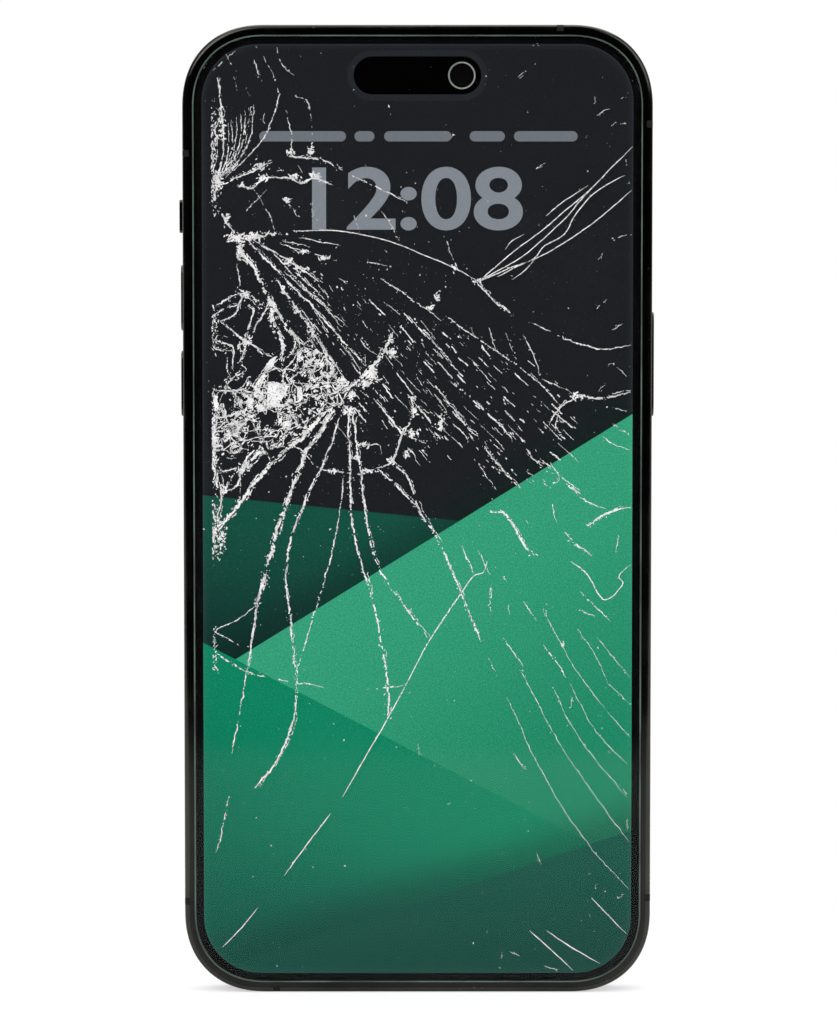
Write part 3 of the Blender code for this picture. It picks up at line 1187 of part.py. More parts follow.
def smooth_route(route, chance):
    """Evenly stepped points on a smooth curve through the route, each a little off it."""
    points = [on_glass(x, z) for x, z in route]
    ends = [2 * points[0] - points[1]] + points + [2 * points[-1] - points[-2]]
    path = []
    for before, start, end, after in zip(ends, ends[1:], ends[2:], ends[3:]):
        pieces = max(1, round((end - start).length / CRACK_STEP))
        for step in range(pieces):
            t = step / pieces
            curve = 2 * start + (end - before) * t
            curve += (2 * before - 5 * start + 4 * end - after) * t**2
            curve += (3 * start - before - 3 * end + after) * t**3
            path.append(curve / 2)
    path.append(points[-1])
    jagged = [path[0]]
    for before, here, after in zip(path, path[1:], path[2:]):
        across = (after - before).normalized().orthogonal()
        jagged.append(here + across * chance.uniform(-CRACK_JITTER, CRACK_JITTER))
    jagged.append(path[-1])
    return jagged


def crack_cutter(crack, chance):
    """V-shaped cutter along a crack, wide at the surface and narrower towards its ends."""
    path = smooth_route(crack.route, chance)
    deep = FRONT_Y + CRACK_DEPTH
    proud = FRONT_Y - CUTTER_PROUD
    flare = (CRACK_DEPTH + CUTTER_PROUD) / CRACK_DEPTH
    mesh = bmesh.new()
    sections = []
    for index, point in enumerate(path):
        before = path[max(index - 1, 0)]
        after = path[min(index + 1, len(path) - 1)]
        across = (after - before).normalized().orthogonal()
        ending = index in (0, len(path) - 1)
        width = crack.width * (CRACK_TIP if ending else chance.uniform(*CRACK_WIDTH_RANGE))
        side = across * width * flare / 2
        left = point + side
        right = point - side
        sections.append(
            [
                mesh.verts.new((left.x, proud, left.y)),
                mesh.verts.new((point.x, deep, point.y)),
                mesh.verts.new((right.x, proud, right.y)),
            ]
        )
    for near, far in zip(sections, sections[1:]):
        for i in range(3):
            j = (i + 1) % 3
            mesh.faces.new((near[i], near[j], far[j], far[i]))
    mesh.faces.new(sections[0])
    mesh.faces.new(sections[-1])
    bmesh.ops.triangulate(mesh, faces=mesh.faces)
    return add_object("crack", mesh)


def chip_cutter(x, z, radius, chance, sides=6):
    """Uneven shallow pit with a floor smaller than its mouth."""
    middle = on_glass(x, z)
    mesh = bmesh.new()
    mouth = []
    floor = []
    floor_depth = FRONT_Y + CHIP_DEPTH * chance.uniform(*CHIP_DEPTH_RANGE)
    turn = chance.uniform(0, math.tau)
    for index in range(sides):
        angle = turn + math.tau * (index + chance.uniform(*CHIP_TURN_RANGE)) / sides
        reach = radius * MM * chance.uniform(*CHIP_REACH_RANGE)
        spoke = Vector((math.cos(angle), math.sin(angle))) * reach
        outer = middle + spoke * CHIP_MOUTH
        inner = middle + spoke * CHIP_FLOOR
        mouth.append(mesh.verts.new((outer.x, FRONT_Y - CUTTER_PROUD, outer.y)))
        floor.append(mesh.verts.new((inner.x, floor_depth, inner.y)))
    for i in range(sides):
        j = (i + 1) % sides
        mesh.faces.new((mouth[i], mouth[j], floor[j], floor[i]))
    mesh.faces.new(mouth)
    mesh.faces.new(floor)
    bmesh.ops.triangulate(mesh, faces=mesh.faces)
    return add_object("chip", mesh)


def scattered_chips(chance):
    """Small pits spread over the crushed places."""
    cutters = []
    for index in range(CHIP_COUNT):
        x, z, reach = CRUSHED[index % len(CRUSHED)]
        angle = chance.uniform(0, math.tau)
        distance = reach * math.sqrt(chance.random())
        size = chance.uniform(*CHIP_SIZE_RANGE)
        place_x = x + distance * math.cos(angle)
        place_z = z + distance * math.sin(angle) * CRUSHED_FLATNESS
        cutters.append(chip_cutter(place_x, place_z, size, chance, sides=5))
    return cutters


def add_front_glass(material):
    """Cover glass with every crack cut into its face but not through it."""
    chance = random.Random(CRACK_SEED)
    section = [
        (GLASS_INSET + GLASS_EDGE, 0.0),
        (GLASS_INSET, GLASS_EDGE),
        (GLASS_INSET, GLASS_THICKNESS),
    ]
    glass = loft("front_glass", body_outline(), section, facing(0, BODY_HEIGHT / 2), material)
    cracks = DOWN_CRACKS + RING_CRACKS + FAN_CRACKS + CORNER_CRACKS + ARC_CRACKS + RIGHT_CRACKS
    cutters = [crack_cutter(crack, chance) for crack in cracks]
    cutters += [chip_cutter(x, z, radius, chance) for x, z, radius in CHIPS]
    cutters += scattered_chips(chance)
    return cut(glass, *cutters)


def make_finishes():
    """Every material of the phone, by what it stands for."""
    return {
        "polished": finish("polished_frame_steel", (0.045, 0.043, 0.04), 0.14, 1.0),
        "steel": finish("bright_steel", (0.42, 0.42, 0.41), 0.28, 1.0),
        "metal": finish("pressed_metal", (0.5, 0.5, 0.5), 0.4, 1.0),
        "glass": finish("cracked_glass", (0.55, 0.57, 0.58), 0.08, alpha=0.45),
        "rear": finish("rear_frosted_glass", (0.05, 0.05, 0.048), 0.45),
        "cover": finish("lens_cover_glass", (0.05, 0.055, 0.065), 0.05, alpha=0.6),
        "gasket": finish("gasket_plastic", (0.19, 0.3, 0.26), 0.4),
        "screen": finish("lit_screen", (0.03, 0.2, 0.12), 0.3),
        "ring": finish("camera_ring", (0.4, 0.38, 0.34), 0.35, 0.6),
        "lens": finish("lens_glass", (0.02, 0.015, 0.015), 0.05),
        "black": finish("black_plastic", (0.02, 0.02, 0.02), 0.5),
        "strip": finish("antenna_plastic", (0.05, 0.05, 0.047), 0.5),
        "gold": finish("contact_gold", (0.7, 0.5, 0.2), 0.3, 1.0),
        "copper": finish("coil_copper", (0.6, 0.28, 0.12), 0.4, 1.0),
        "board": finish("circuit_board", (0.02, 0.06, 0.05), 0.5),
        "tape": finish("flex_film", (0.12, 0.07, 0.03), 0.5),
        "card": finish("card_plastic", (0.75, 0.75, 0.72), 0.5),
        "emitter": finish("emitter_plastic", (0.7, 0.62, 0.35), 0.4),
    }


def clear_scene():
    """Removes whatever the scene holds."""
    for thing in list(bpy.data.objects):
        bpy.data.objects.remove(thing, do_unlink=True)


def build():
    """Makes the whole phone."""
    clear_scene()
    materials = make_finishes()
    grooves = add_antenna_strips(materials["strip"])
    add_side_frame(materials["polished"], grooves)
    add_lower_edge_pieces(materials["steel"], materials["black"], materials["gold"])
    polished = materials["polished"]
    add_button("side_button", 1, SIDE_BUTTON_LENGTH, SIDE_BUTTON_DROP, polished)
    add_button("volume_up_button", -1, VOLUME_BUTTON_LENGTH, VOLUME_UP_DROP, polished)
    add_button("volume_down_button", -1, VOLUME_BUTTON_LENGTH, VOLUME_DOWN_DROP, polished)
    add_switches(materials["metal"])
    add_ring_switch(polished, materials["metal"])
    add_card_tray(polished, materials["card"], materials["metal"])
    add_front_stack(materials)
    add_front_glass(materials["glass"])
    add_top_modules(materials)
    add_rear_glass(materials["rear"])
    add_rear_cameras(materials)
    add_chassis(materials)
    add_lower_modules(materials)
    add_logic_board(materials)


build()
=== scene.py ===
"""Looks of the shattered phone: finishes, fine meshes, cracks in the glass, light and camera.

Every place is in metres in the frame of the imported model. X runs across the phone, Z up it, and
the screen faces -Y. Routes of cracks are millimetres across and up the front glass.
"""

from __future__ import annotations

import json
import logging
import math
import random
from collections.abc import Callable, Iterator, Sequence
from contextlib import contextmanager
from dataclasses import dataclass, field
from enum import Enum

import bmesh
import bpy
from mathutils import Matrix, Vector, noise
from mathutils.geometry import delaunay_2d_cdt

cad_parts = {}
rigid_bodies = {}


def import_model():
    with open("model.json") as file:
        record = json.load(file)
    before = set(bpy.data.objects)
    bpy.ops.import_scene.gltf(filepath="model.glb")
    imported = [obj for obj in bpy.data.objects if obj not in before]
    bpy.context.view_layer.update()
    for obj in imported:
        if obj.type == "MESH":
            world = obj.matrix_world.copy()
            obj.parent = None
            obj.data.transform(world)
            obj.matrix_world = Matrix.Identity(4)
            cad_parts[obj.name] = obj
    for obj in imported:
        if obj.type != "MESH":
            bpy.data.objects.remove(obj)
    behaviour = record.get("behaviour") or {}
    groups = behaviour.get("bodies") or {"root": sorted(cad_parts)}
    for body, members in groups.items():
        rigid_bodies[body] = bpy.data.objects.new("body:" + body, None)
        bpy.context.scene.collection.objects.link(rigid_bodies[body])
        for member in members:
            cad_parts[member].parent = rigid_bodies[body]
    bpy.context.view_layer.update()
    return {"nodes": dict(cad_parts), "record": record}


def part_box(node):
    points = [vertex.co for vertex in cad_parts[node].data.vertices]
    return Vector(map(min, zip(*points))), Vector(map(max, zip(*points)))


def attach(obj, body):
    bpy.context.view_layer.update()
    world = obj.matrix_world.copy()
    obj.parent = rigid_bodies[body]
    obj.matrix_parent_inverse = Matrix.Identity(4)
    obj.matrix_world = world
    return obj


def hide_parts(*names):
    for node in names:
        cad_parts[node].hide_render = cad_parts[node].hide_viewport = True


MM = 0.001
TINY = 1e-6
SMOOTH_ANGLE = math.radians(35)
log = logging.getLogger("phone")

Colour = tuple[float, float, float]
Point = tuple[float, float]
Value = float | tuple | bpy.types.NodeSocket


class Slot(Enum):
    """Material slots of the record."""

    FRAME = "polished_frame"
    STEEL = "bright_steel"
    PRESSED = "pressed_metal"
    GLASS = "cracked_glass"
    REAR = "rear_glass"
    COVER = "lens_cover"
    SEAL = "gasket"
    SCREEN = "lit_screen"
    CAMERA_RING = "camera_ring"
    LENS = "lens_glass"
    BLACK = "black_plastic"
    STRIP = "antenna_plastic"
    GOLD = "contact_gold"
    COPPER = "coil_copper"
    BOARD = "circuit_board"
    FILM = "flex_film"
    CARD = "card_plastic"
    EMITTER = "emitter_plastic"


class Axis(Enum):
    """Directions of the frame."""

    X = 0
    Y = 1
    Z = 2


class Weight(Enum):
    """How strongly a crack shows, as its width in millimetres."""

    WIDE = 0.54
    FIRM = 0.29
    CLEAN = 0.18
    FINE = 0.19
    MARK = 0.16
    HAIR = 0.11
    THREAD = 0.085


# Tools for modelling


def clear_selection() -> None:
    """Leaves object mode with nothing selected."""
    if bpy.context.object and bpy.context.object.mode != "OBJECT":
        bpy.ops.object.mode_set(mode="OBJECT")
    bpy.ops.object.select_all(action="DESELECT")


def choose_object(piece: bpy.types.Object) -> None:
    """Makes one object the selected and active one."""
    clear_selection()
    piece.select_set(True)
    bpy.context.view_layer.objects.active = piece


@contextmanager
def editing(piece: bpy.types.Object, kind: str = "FACE") -> Iterator[bmesh.types.BMesh]:
    """Edit mode on a piece, with nothing selected in it.

    Args:
        piece: The mesh object to edit.
        kind: What is selected, VERT, EDGE or FACE.
    """
    choose_object(piece)
    bpy.ops.object.mode_set(mode="EDIT")
    bpy.ops.mesh.select_mode(type=kind)
    bpy.ops.mesh.select_all(action="DESELECT")
    yield bmesh.from_edit_mesh(piece.data)
    bpy.ops.object.mode_set(mode="OBJECT")


def pick(mesh: bmesh.types.BMesh, items: Sequence, test: Callable) -> None:
    """Selects the faces or edges that pass a test.

    Args:
        mesh: The mesh in edit mode.
        items: Its faces or its edges.
        test: Takes one of them and tells whether it is wanted.
    """
    for item in items:
        if test(item):
            item.select_set(True)
    mesh.select_flush_mode()


def on_level(axis: Axis, level: float) -> Callable:
    """Test for an edge or face that lies wholly at one level.

    Args:
        axis: The axis that the level is measured along.
        level: Its place on that axis.

    Returns:
        The test.
    """
    return lambda item: all(abs(vert.co[axis.value] - level) < TINY for vert in item.verts)


def block(
    name: str,
    low: Vector,
    high: Vector,
    axis: Axis = Axis.Y,
    radius: float = 0.0,
    segments: int = 12,
    profile: float = 0.5,
) -> bpy.types.Object:
    """A box whose four edges along one axis are rounded.

    Args:
        name: Name of the new object.
        low: Its lowest corner.
        high: Its highest corner.
        axis: Direction of the edges that are rounded.
        radius: Radius of the rounds.
        segments: Faces round each edge.
        profile: Shape of the rounds, 0.5 for a circle.

    Returns:
        The object, at the origin.
    """
    clear_selection()
    bpy.ops.mesh.primitive_cube_add(size=1, location=(low + high) / 2, scale=high - low)
    piece = bpy.context.object
    piece.name = name
    bpy.ops.object.transform_apply(location=True, rotation=True, scale=True)
    if radius:
        others = [other for other in Axis if other is not axis]
        with editing(piece, "EDGE") as mesh:
            pick(mesh, mesh.edges, lambda edge: all(
                abs(edge.verts[0].co[o.value] - edge.verts[1].co[o.value]) < TINY for o in others
            ))
            bpy.ops.mesh.bevel(offset=radius, segments=segments, profile=profile, affect="EDGES")
    return piece


def soften(piece: bpy.types.Object, axis: Axis, level: float, width: float, segments: int = 4) -> None:
    """Rounds the rim that lies at one level.

    Args:
        piece: The object.
        axis: Axis that the level is measured along.
        level: Place of the rim.
        width: Radius of the round.
        segments: Faces across it.
    """
    with editing(piece, "EDGE") as mesh:
        pick(mesh, mesh.edges, on_level(axis, level))
        bpy.ops.mesh.bevel(offset=width, segments=segments, profile=0.5, affect="EDGES")


def step_in(piece: bpy.types.Object, axis: Axis, level: float, steps: Sequence[Point]) -> None:
    """Insets the cap at one level and pushes it along the axis, again and again.

    Args:
        piece: The object.
        axis: Axis that the cap faces along.
        level: Place of the cap.
        steps: For each step the inset, then the push along the axis.
    """
    with editing(piece) as mesh:
        pick(mesh, mesh.faces, on_level(axis, level))
        for inset, push in steps:
            if inset:
                bpy.ops.mesh.inset(thickness=inset, use_even_offset=True)
            if push:
                move = [0.0, 0.0, 0.0]
                move[axis.value] = push
                bpy.ops.mesh.extrude_region_move(TRANSFORM_OT_translate={"value": move})


def carve(piece: bpy.types.Object, cutters: Sequence[bpy.types.Object], mode: str = "DIFFERENCE") -> None:
    """Takes cutters away from a piece, or adds them to it, and removes them.

    Args:
        piece: The object that stays.
        cutters: The others.
        mode: DIFFERENCE or UNION.
    """
    for cutter in cutters:
        modifier = piece.modifiers.new("carve", "BOOLEAN")
        modifier.operation = mode
        modifier.object = cutter
        modifier.solver = "EXACT"
        choose_object(piece)
        bpy.ops.object.modifier_apply(modifier=modifier.name)
        bpy.data.objects.remove(cutter, do_unlink=True)


def polish(piece: bpy.types.Object, angle: float = SMOOTH_ANGLE) -> None:
    """Shades a piece smooth, with flat faces kept flat.

    Args:
        piece: The object.
        angle: Edges sharper than this stay sharp.
    """
    choose_object(piece)
    bpy.ops.object.shade_smooth_by_angle(angle=angle)
    modifier = piece.modifiers.new("normals", "WEIGHTED_NORMAL")
    modifier.keep_sharp = True
    bpy.ops.object.modifier_apply(modifier=modifier.name)


def disc(name: str, middle: Vector, radius: float, depth: float, sides: int = 64) -> bpy.types.Object:
    """A cylinder along Y that starts at a point and runs back from it.

    Args:
        name: Name of the new object.
        middle: Middle of its front cap.
        radius: Its radius.
        depth: How far back it runs.
        sides: Faces round it.

    Returns:
        The object, at the origin.
    """
    clear_selection()
    bpy.ops.mesh.primitive_cylinder_add(
        vertices=sides,
        radius=radius,
        depth=depth,
        location=middle + Vector((0, depth / 2, 0)),
        rotation=(math.pi / 2, 0, 0),
    )
    piece = bpy.context.object
    piece.name = name
    bpy.ops.object.transform_apply(location=True, rotation=True, scale=True)
    return piece


def true_copy(name: str, node: str, edge: float = 0.0) -> bpy.types.Object:
    """A welded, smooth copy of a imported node, with its sharp edges broken.

    Args:
        name: Name of the new object.
        node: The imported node.
        edge: Width of the broken edges.

    Returns:
        The copy.
    """
    source = bpy.data.objects[node]
    data = source.data.copy()
    data.materials.clear()
    piece = bpy.data.objects.new(name, data)
    bpy.context.scene.collection.objects.link(piece)
    with editing(piece) as _:
        bpy.ops.mesh.select_all(action="SELECT")
        bpy.ops.mesh.remove_doubles(threshold=TINY)
        bpy.ops.mesh.dissolve_limited(angle_limit=math.radians(1))
    if edge:
        modifier = piece.modifiers.new("edges", "BEVEL")
        modifier.width = edge
        modifier.segments = 2
        modifier.angle_limit = SMOOTH_ANGLE
        choose_object(piece)
        bpy.ops.object.modifier_apply(modifier=modifier.name)
    polish(piece)
    return piece


# Tools for finishes


@dataclass
class Graph:
    """A node material that is being put together."""

    name: str
    material: bpy.types.Material = field(init=False)
    tree: bpy.types.NodeTree = field(init=False)

    def __post_init__(self) -> None:
        """Starts the material with nothing but its output."""
        self.material = bpy.data.materials.new(self.name)
        self.material.use_nodes = True
        self.tree = self.material.node_tree
        self.tree.nodes.clear()

    def add(self, kind: str, values: dict[str | int, Value] | None = None, **settings) -> bpy.types.Node:
        """Adds a node.

        Args:
            kind: Its type, without the common start of the name.
            values: What its inputs get, by name or index.
            **settings: Its own settings.

        Returns:
            The node.
        """
        node = self.tree.nodes.new(f"ShaderNode{kind}")
        for key, value in settings.items():
            setattr(node, key, value)
        for key, value in (values or {}).items():
            self.feed(node.inputs[key], value)
        return node

    def feed(self, socket: bpy.types.NodeSocket, value: Value) -> None:
        """Links or sets an input."""
        if isinstance(value, bpy.types.NodeSocket):
            self.tree.links.new(value, socket)
        elif isinstance(value, tuple) and len(value) == 3 and socket.type == "RGBA":
            socket.default_value = (*value, 1.0)
        else:
            socket.default_value = value

    def place(self) -> bpy.types.NodeSocket:
        """Object coordinates."""
        return self.add("TexCoord").outputs["Object"]

    def noise(self, scale: float, detail: float = 3.0, roughness: float = 0.55) -> bpy.types.NodeSocket:
        """Noise over the piece, from 0 to 1."""
        values = {"Vector": self.place(), "Scale": scale, "Detail": detail, "Roughness": roughness}
        return self.add("TexNoise", values).outputs["Fac"]

    def math(self, operation: str, a: Value, b: Value = 0.0, clamp: bool = False) -> bpy.types.NodeSocket:
        """One step of arithmetic."""
        return self.add("Math", {0: a, 1: b}, operation=operation, use_clamp=clamp).outputs[0]

    def remap(
        self, value: Value, low: float, high: float, to_low: float = 0.0, to_high: float = 1.0
    ) -> bpy.types.NodeSocket:
        """Maps a range of a value to another, smoothly and without leaving it."""
        node = self.add("MapRange", {"Value": value}, interpolation_type="SMOOTHSTEP")
        for key, number in (("From Min", low), ("From Max", high), ("To Min", to_low), ("To Max", to_high)):
            node.inputs[key].default_value = number
        return node.outputs["Result"]

    def mix(self, share: Value, a: Value, b: Value) -> bpy.types.NodeSocket:
        """Blends two colours."""
        node = self.add("Mix", data_type="RGBA")
        for index, value in ((0, share), (6, a), (7, b)):
            self.feed(node.inputs[index], value)
        return node.outputs[2]

    def bump(self, height: Value, strength: float, distance: float) -> bpy.types.NodeSocket:
        """A normal from a height."""
        values = {"Height": height, "Strength": strength, "Distance": distance}
        return self.add("Bump", values).outputs["Normal"]

    def surface(self, values: dict[str | int, Value]) -> bpy.types.Node:
        """The main shader, with these inputs."""
        return self.add("BsdfPrincipled", values)

    def end(self, shader: bpy.types.NodeSocket) -> bpy.types.Material:
        """Connects the last shader and gives the material."""
        output = self.add("OutputMaterial")
        self.tree.links.new(shader, output.inputs["Surface"])
        return self.material


@dataclass(frozen=True)
class Metal:
    """A metal with a fine grain, soft stains and dust in its finish."""

    name: str
    colour: Colour
    roughness: float
    grain: float = 2500.0
    spread: float = 0.12
    dust: float = 0.0

    def make(self) -> bpy.types.Material:
        """Puts the material together."""
        graph = Graph(self.name)
        stain = graph.noise(90.0, 4.0)
        fine = graph.noise(self.grain, 2.0)
        darker = tuple(part * (1 - 2 * self.spread) for part in self.colour)
        lighter = tuple(min(1.0, part * (1 + self.spread)) for part in self.colour)
        colour = graph.mix(graph.remap(stain, 0.3, 0.7), darker, lighter)
        worn = graph.remap(stain, 0.35, 0.75, self.roughness * 0.7, self.roughness * 1.4)
        rough = graph.math("ADD", worn, graph.remap(fine, 0.3, 0.7, -0.02, 0.03))
        metallic: Value = 1.0
        if self.dust:
            speck = graph.noise(1900.0, 2.0, 0.7)
            patch = graph.remap(graph.noise(160.0, 3.0), 0.42, 0.7)
            mask = graph.math("MULTIPLY", graph.remap(speck, 0.66, 0.76), patch, True)
            mask = graph.math("MULTIPLY", mask, self.dust, True)
            colour = graph.mix(mask, colour, (0.42, 0.4, 0.36))
            rough = graph.math("ADD", rough, graph.math("MULTIPLY", mask, 0.5), True)
            metallic = graph.math("SUBTRACT", 1.0, mask, True)
        shader = graph.surface({
            "Base Color": colour, "Metallic": metallic, "Roughness": rough,
            "Normal": graph.bump(fine, 0.04, 0.00002),
        })
        return graph.end(shader.outputs[0])


@dataclass(frozen=True)
class Moulded:
    """A plastic, film or board with a fine skin and a soft change of shade."""

    name: str
    colour: Colour
    roughness: float
    grain: float = 1500.0
    spread: float = 0.15
    relief: float = 0.15
    shine: float = 0.5

    def make(self) -> bpy.types.Material:
        """Puts the material together."""
        graph = Graph(self.name)
        shade = graph.noise(120.0, 4.0)
        skin = graph.noise(self.grain, 3.0)
        darker = tuple(part * (1 - self.spread) for part in self.colour)
        lighter = tuple(min(1.0, part * (1 + self.spread)) for part in self.colour)
        smoothest, roughest = self.roughness * 0.85, min(1.0, self.roughness * 1.15)
        colour = graph.mix(graph.remap(shade, 0.3, 0.7), darker, lighter)
        shader = graph.surface({
            "Base Color": colour, "Specular IOR Level": self.shine,
            "Roughness": graph.remap(skin, 0.25, 0.75, smoothest, roughest),
            "Normal": graph.bump(skin, self.relief, 0.00003),
        })
        return graph.end(shader.outputs[0])


@dataclass(frozen=True)
class ClearPane:
    """Clear cover glass: see-through, with a faint reflection on its outer face, smears and fine dust."""

    name: str
    level: float
    facing: float = -1.0
    reflection_ior: float = 1.2
    smear: float = 0.003

    def make(self) -> bpy.types.Material:
        """Puts the material together."""
        graph = Graph(self.name)
        clear = graph.add("BsdfTransparent", {"Color": (0.97, 0.98, 0.98)})
        smear = graph.noise(45.0, 5.0, 0.6)
        gloss = graph.add("BsdfGlossy", {
            "Color": (0.95, 0.97, 1.0), "Roughness": graph.remap(smear, 0.3, 0.8, 0.02, 0.12),
        })
        fresnel = graph.add("Fresnel", {"IOR": self.reflection_ior})
        depth = graph.math("MULTIPLY", graph.add("SeparateXYZ", {0: graph.place()}).outputs[1], self.facing)
        outer = graph.math("GREATER_THAN", depth, self.level * self.facing - 0.3 * MM)
        share = graph.math("MULTIPLY", fresnel.outputs[0], outer)
        shine = graph.add("MixShader", {0: share, 1: clear.outputs[0], 2: gloss.outputs[0]})
        haze = graph.add("BsdfDiffuse", {"Color": (0.7, 0.72, 0.72)})
        speck = graph.remap(graph.noise(2600.0, 2.0, 0.7), 0.7, 0.8)
        film = graph.math("MULTIPLY", graph.remap(smear, 0.5, 0.8), self.smear)
        cover = graph.math("MULTIPLY", graph.math("ADD", film, graph.math("MULTIPLY", speck, 0.05)), outer)
        whole = graph.add("MixShader", {0: cover, 1: shine.outputs[0], 2: haze.outputs[0]})
        return graph.end(whole.outputs[0])


@dataclass(frozen=True)
class Fracture:
    """White broken glass, which breaks up into bright and clear grains where it has a cover range."""

    name: str
    colour: Colour = (0.76, 0.75, 0.75)
    grain: float = 3200.0
    cover: tuple[float, float] | None = None

    def make(self) -> bpy.types.Material:
        """Puts the material together."""
        graph = Graph(self.name)
        grain = graph.noise(self.grain, 3.0, 0.65)
        shade = graph.noise(700.0, 3.0)
        darker = tuple(part * 0.72 for part in self.colour)
        colour = graph.mix(graph.remap(shade, 0.3, 0.7), darker, self.colour)
        white = graph.surface({
            "Base Color": colour, "Roughness": 0.45, "Specular IOR Level": 0.4,
            "Normal": graph.bump(grain, 0.5, 0.00005),
        })
        if self.cover is None:
            return graph.end(white.outputs[0])
        clear = graph.add("BsdfTransparent", {"Color": (0.97, 0.98, 0.98)})
        share = graph.remap(grain, *self.cover)
        whole = graph.add("MixShader", {0: share, 1: clear.outputs[0], 2: white.outputs[0]})
        return graph.end(whole.outputs[0])


@dataclass(frozen=True)
class Glow:
    """A plain lit shape on the display, such as a digit."""

    name: str
    colour: Colour

    def make(self) -> bpy.types.Material:
        """Puts the material together."""
        graph = Graph(self.name)
        grain = graph.noise(2200.0, 2.0)
        dimmer = tuple(part * 0.93 for part in self.colour)
        colour = graph.mix(graph.remap(grain, 0.2, 0.8), dimmer, self.colour)
        shader = graph.surface({
            "Base Color": (0.01, 0.01, 0.01), "Roughness": 0.5, "Specular IOR Level": 0.0,
            "Emission Color": colour, "Emission Strength": 1.0,
        })
        return graph.end(shader.outputs[0])


@dataclass(frozen=True)
class Band:
    """One straight-edged sheet of the picture: where its upper edge runs, and its colours."""

    height: float
    slope: float
    upper: Colour
    lower: Colour
    fade: float
    shadow: float = 0.0


@dataclass(frozen=True)
class LitScreen:
    """The lit picture: straight overlapping sheets of green under a charcoal sky."""

    name: str
    middle_z: float
    half_width: float
    half_height: float
    corner: float
    island: Vector
    island_half: Vector
    night: Colour = (0.0142, 0.0152, 0.0188)
    rim: Colour = (0.014, 0.018, 0.022)
    bands: tuple[Band, ...] = (
        Band(0.0795, -0.10, (0.008, 0.1, 0.065), (0.005, 0.034, 0.03), 0.030),
        Band(0.0745, 0.62, (0.046, 0.45, 0.25), (0.016, 0.31, 0.165), 0.060),
        Band(0.0400, -0.52, (0.004, 0.29, 0.15), (0.002, 0.165, 0.095), 0.045),
        Band(0.0150, 0.34, (0.006, 0.115, 0.075), (0.005, 0.075, 0.052), 0.03),
    )

    def distance(
        self, graph: Graph, x: Value, z: Value, middle: Vector, half: Vector, radius: float
    ) -> Value:
        """Distance of a point outside a rounded rectangle, below nought inside it.

        Args:
            graph: The material.
            x: Place across.
            z: Place up.
            middle: Middle of the rectangle, across and up.
            half: Its half sizes.
            radius: Radius of its corners.

        Returns:
            The distance.
        """
        reach = []
        for value, centre, size in ((x, middle.x, half.x), (z, middle.y, half.y)):
            away = graph.math("ABSOLUTE", graph.math("SUBTRACT", value, centre))
            reach.append(graph.math("SUBTRACT", away, size - radius))
        outer = [graph.math("MAXIMUM", part, 0.0) for part in reach]
        squares = [graph.math("MULTIPLY", part, part) for part in outer]
        length = graph.math("SQRT", graph.math("ADD", squares[0], squares[1]))
        inside = graph.math("MINIMUM", graph.math("MAXIMUM", reach[0], reach[1]), 0.0)
        return graph.math("SUBTRACT", graph.math("ADD", length, inside), radius)

    def make(self) -> bpy.types.Material:
        """Puts the material together."""
        graph = Graph(self.name)
        parts = graph.add("SeparateXYZ", {0: graph.place()})
        x, z = parts.outputs[0], parts.outputs[2]
        colour: Value = self.night
        for band in self.bands:
            line = graph.add("Math", {0: x, 1: band.slope, 2: band.height}, operation="MULTIPLY_ADD")
            edge = line.outputs[0]
            depth = graph.math("SUBTRACT", edge, z)
            sheet = graph.mix(graph.remap(depth, 0.0, band.fade), band.upper, band.lower)
            shadow = graph.remap(depth, -0.009, 0.0, 0.0, 0.45)
            colour = graph.mix(shadow, colour, (0.004, 0.02, 0.016)) if band.slope > 0 else colour
            colour = graph.mix(graph.remap(depth, -0.00006, 0.00006), colour, sheet)
        colour = graph.mix(graph.remap(z, 0.0, 0.028, 0.6, 0.0), colour, (0.006, 0.068, 0.05))
        middle = Vector((0.0, self.middle_z))
        half = Vector((self.half_width, self.half_height))
        border = self.distance(graph, x, z, middle, half, self.corner)
        soft = graph.remap(border, -0.0012, 0.0, 0.0, 0.45)
        sharp = graph.remap(border, -0.0003, -0.0001, 0.0, 0.55)
        rim = graph.math("ADD", soft, sharp)
        pill = self.distance(graph, x, z, self.island, self.island_half, self.island_half.y)
        halo = graph.remap(pill, 0.0009, 0.0012, 0.45, 0.0)
        glow = graph.math("MAXIMUM", rim, halo)
        lighter = graph.add("VectorMath", {0: self.rim, 3: glow}, operation="SCALE")
        colour = graph.add("VectorMath", {0: colour, 1: lighter.outputs[0]}, operation="ADD").outputs[0]
        grain = graph.noise(4200.0, 2.0, 0.9)
        colour = graph.mix(graph.remap(grain, 0.32, 0.68, 0.0, 0.42), colour, (0.0, 0.0, 0.0))
        shader = graph.surface({
            "Base Color": (0.004, 0.004, 0.004), "Roughness": 0.5, "Specular IOR Level": 0.0,
            "Emission Color": colour, "Emission Strength": 1.0,
        })
        return graph.end(shader.outputs[0])


@dataclass(frozen=True)
class CoatedLens:
    """Dark coated glass of a camera lens, with a painted sheen of the coating's colour that grows towards
    grazing angles.
    """

    name: str
    colour: Colour
    painted_sheen: Colour
    roughness: float = 0.05

    def make(self) -> bpy.types.Material:
        """Puts the material together."""
        graph = Graph(self.name)
        facing = graph.add("LayerWeight", {"Blend": 0.35}).outputs["Facing"]
        patch = graph.noise(500.0, 3.0)
        # Painted sheen: towards grazing angles, in patches, the colour turns to the coating's sheen colour.
        share = graph.math("MULTIPLY", facing, graph.remap(patch, 0.2, 0.8))
        shader = graph.surface({
            "Base Color": graph.mix(share, self.colour, self.painted_sheen),
            "Roughness": graph.remap(patch, 0.2, 0.8, self.roughness, 2 * self.roughness),
            "Specular IOR Level": 0.5,
        })
        return graph.end(shader.outputs[0])


# Pieces of the phone


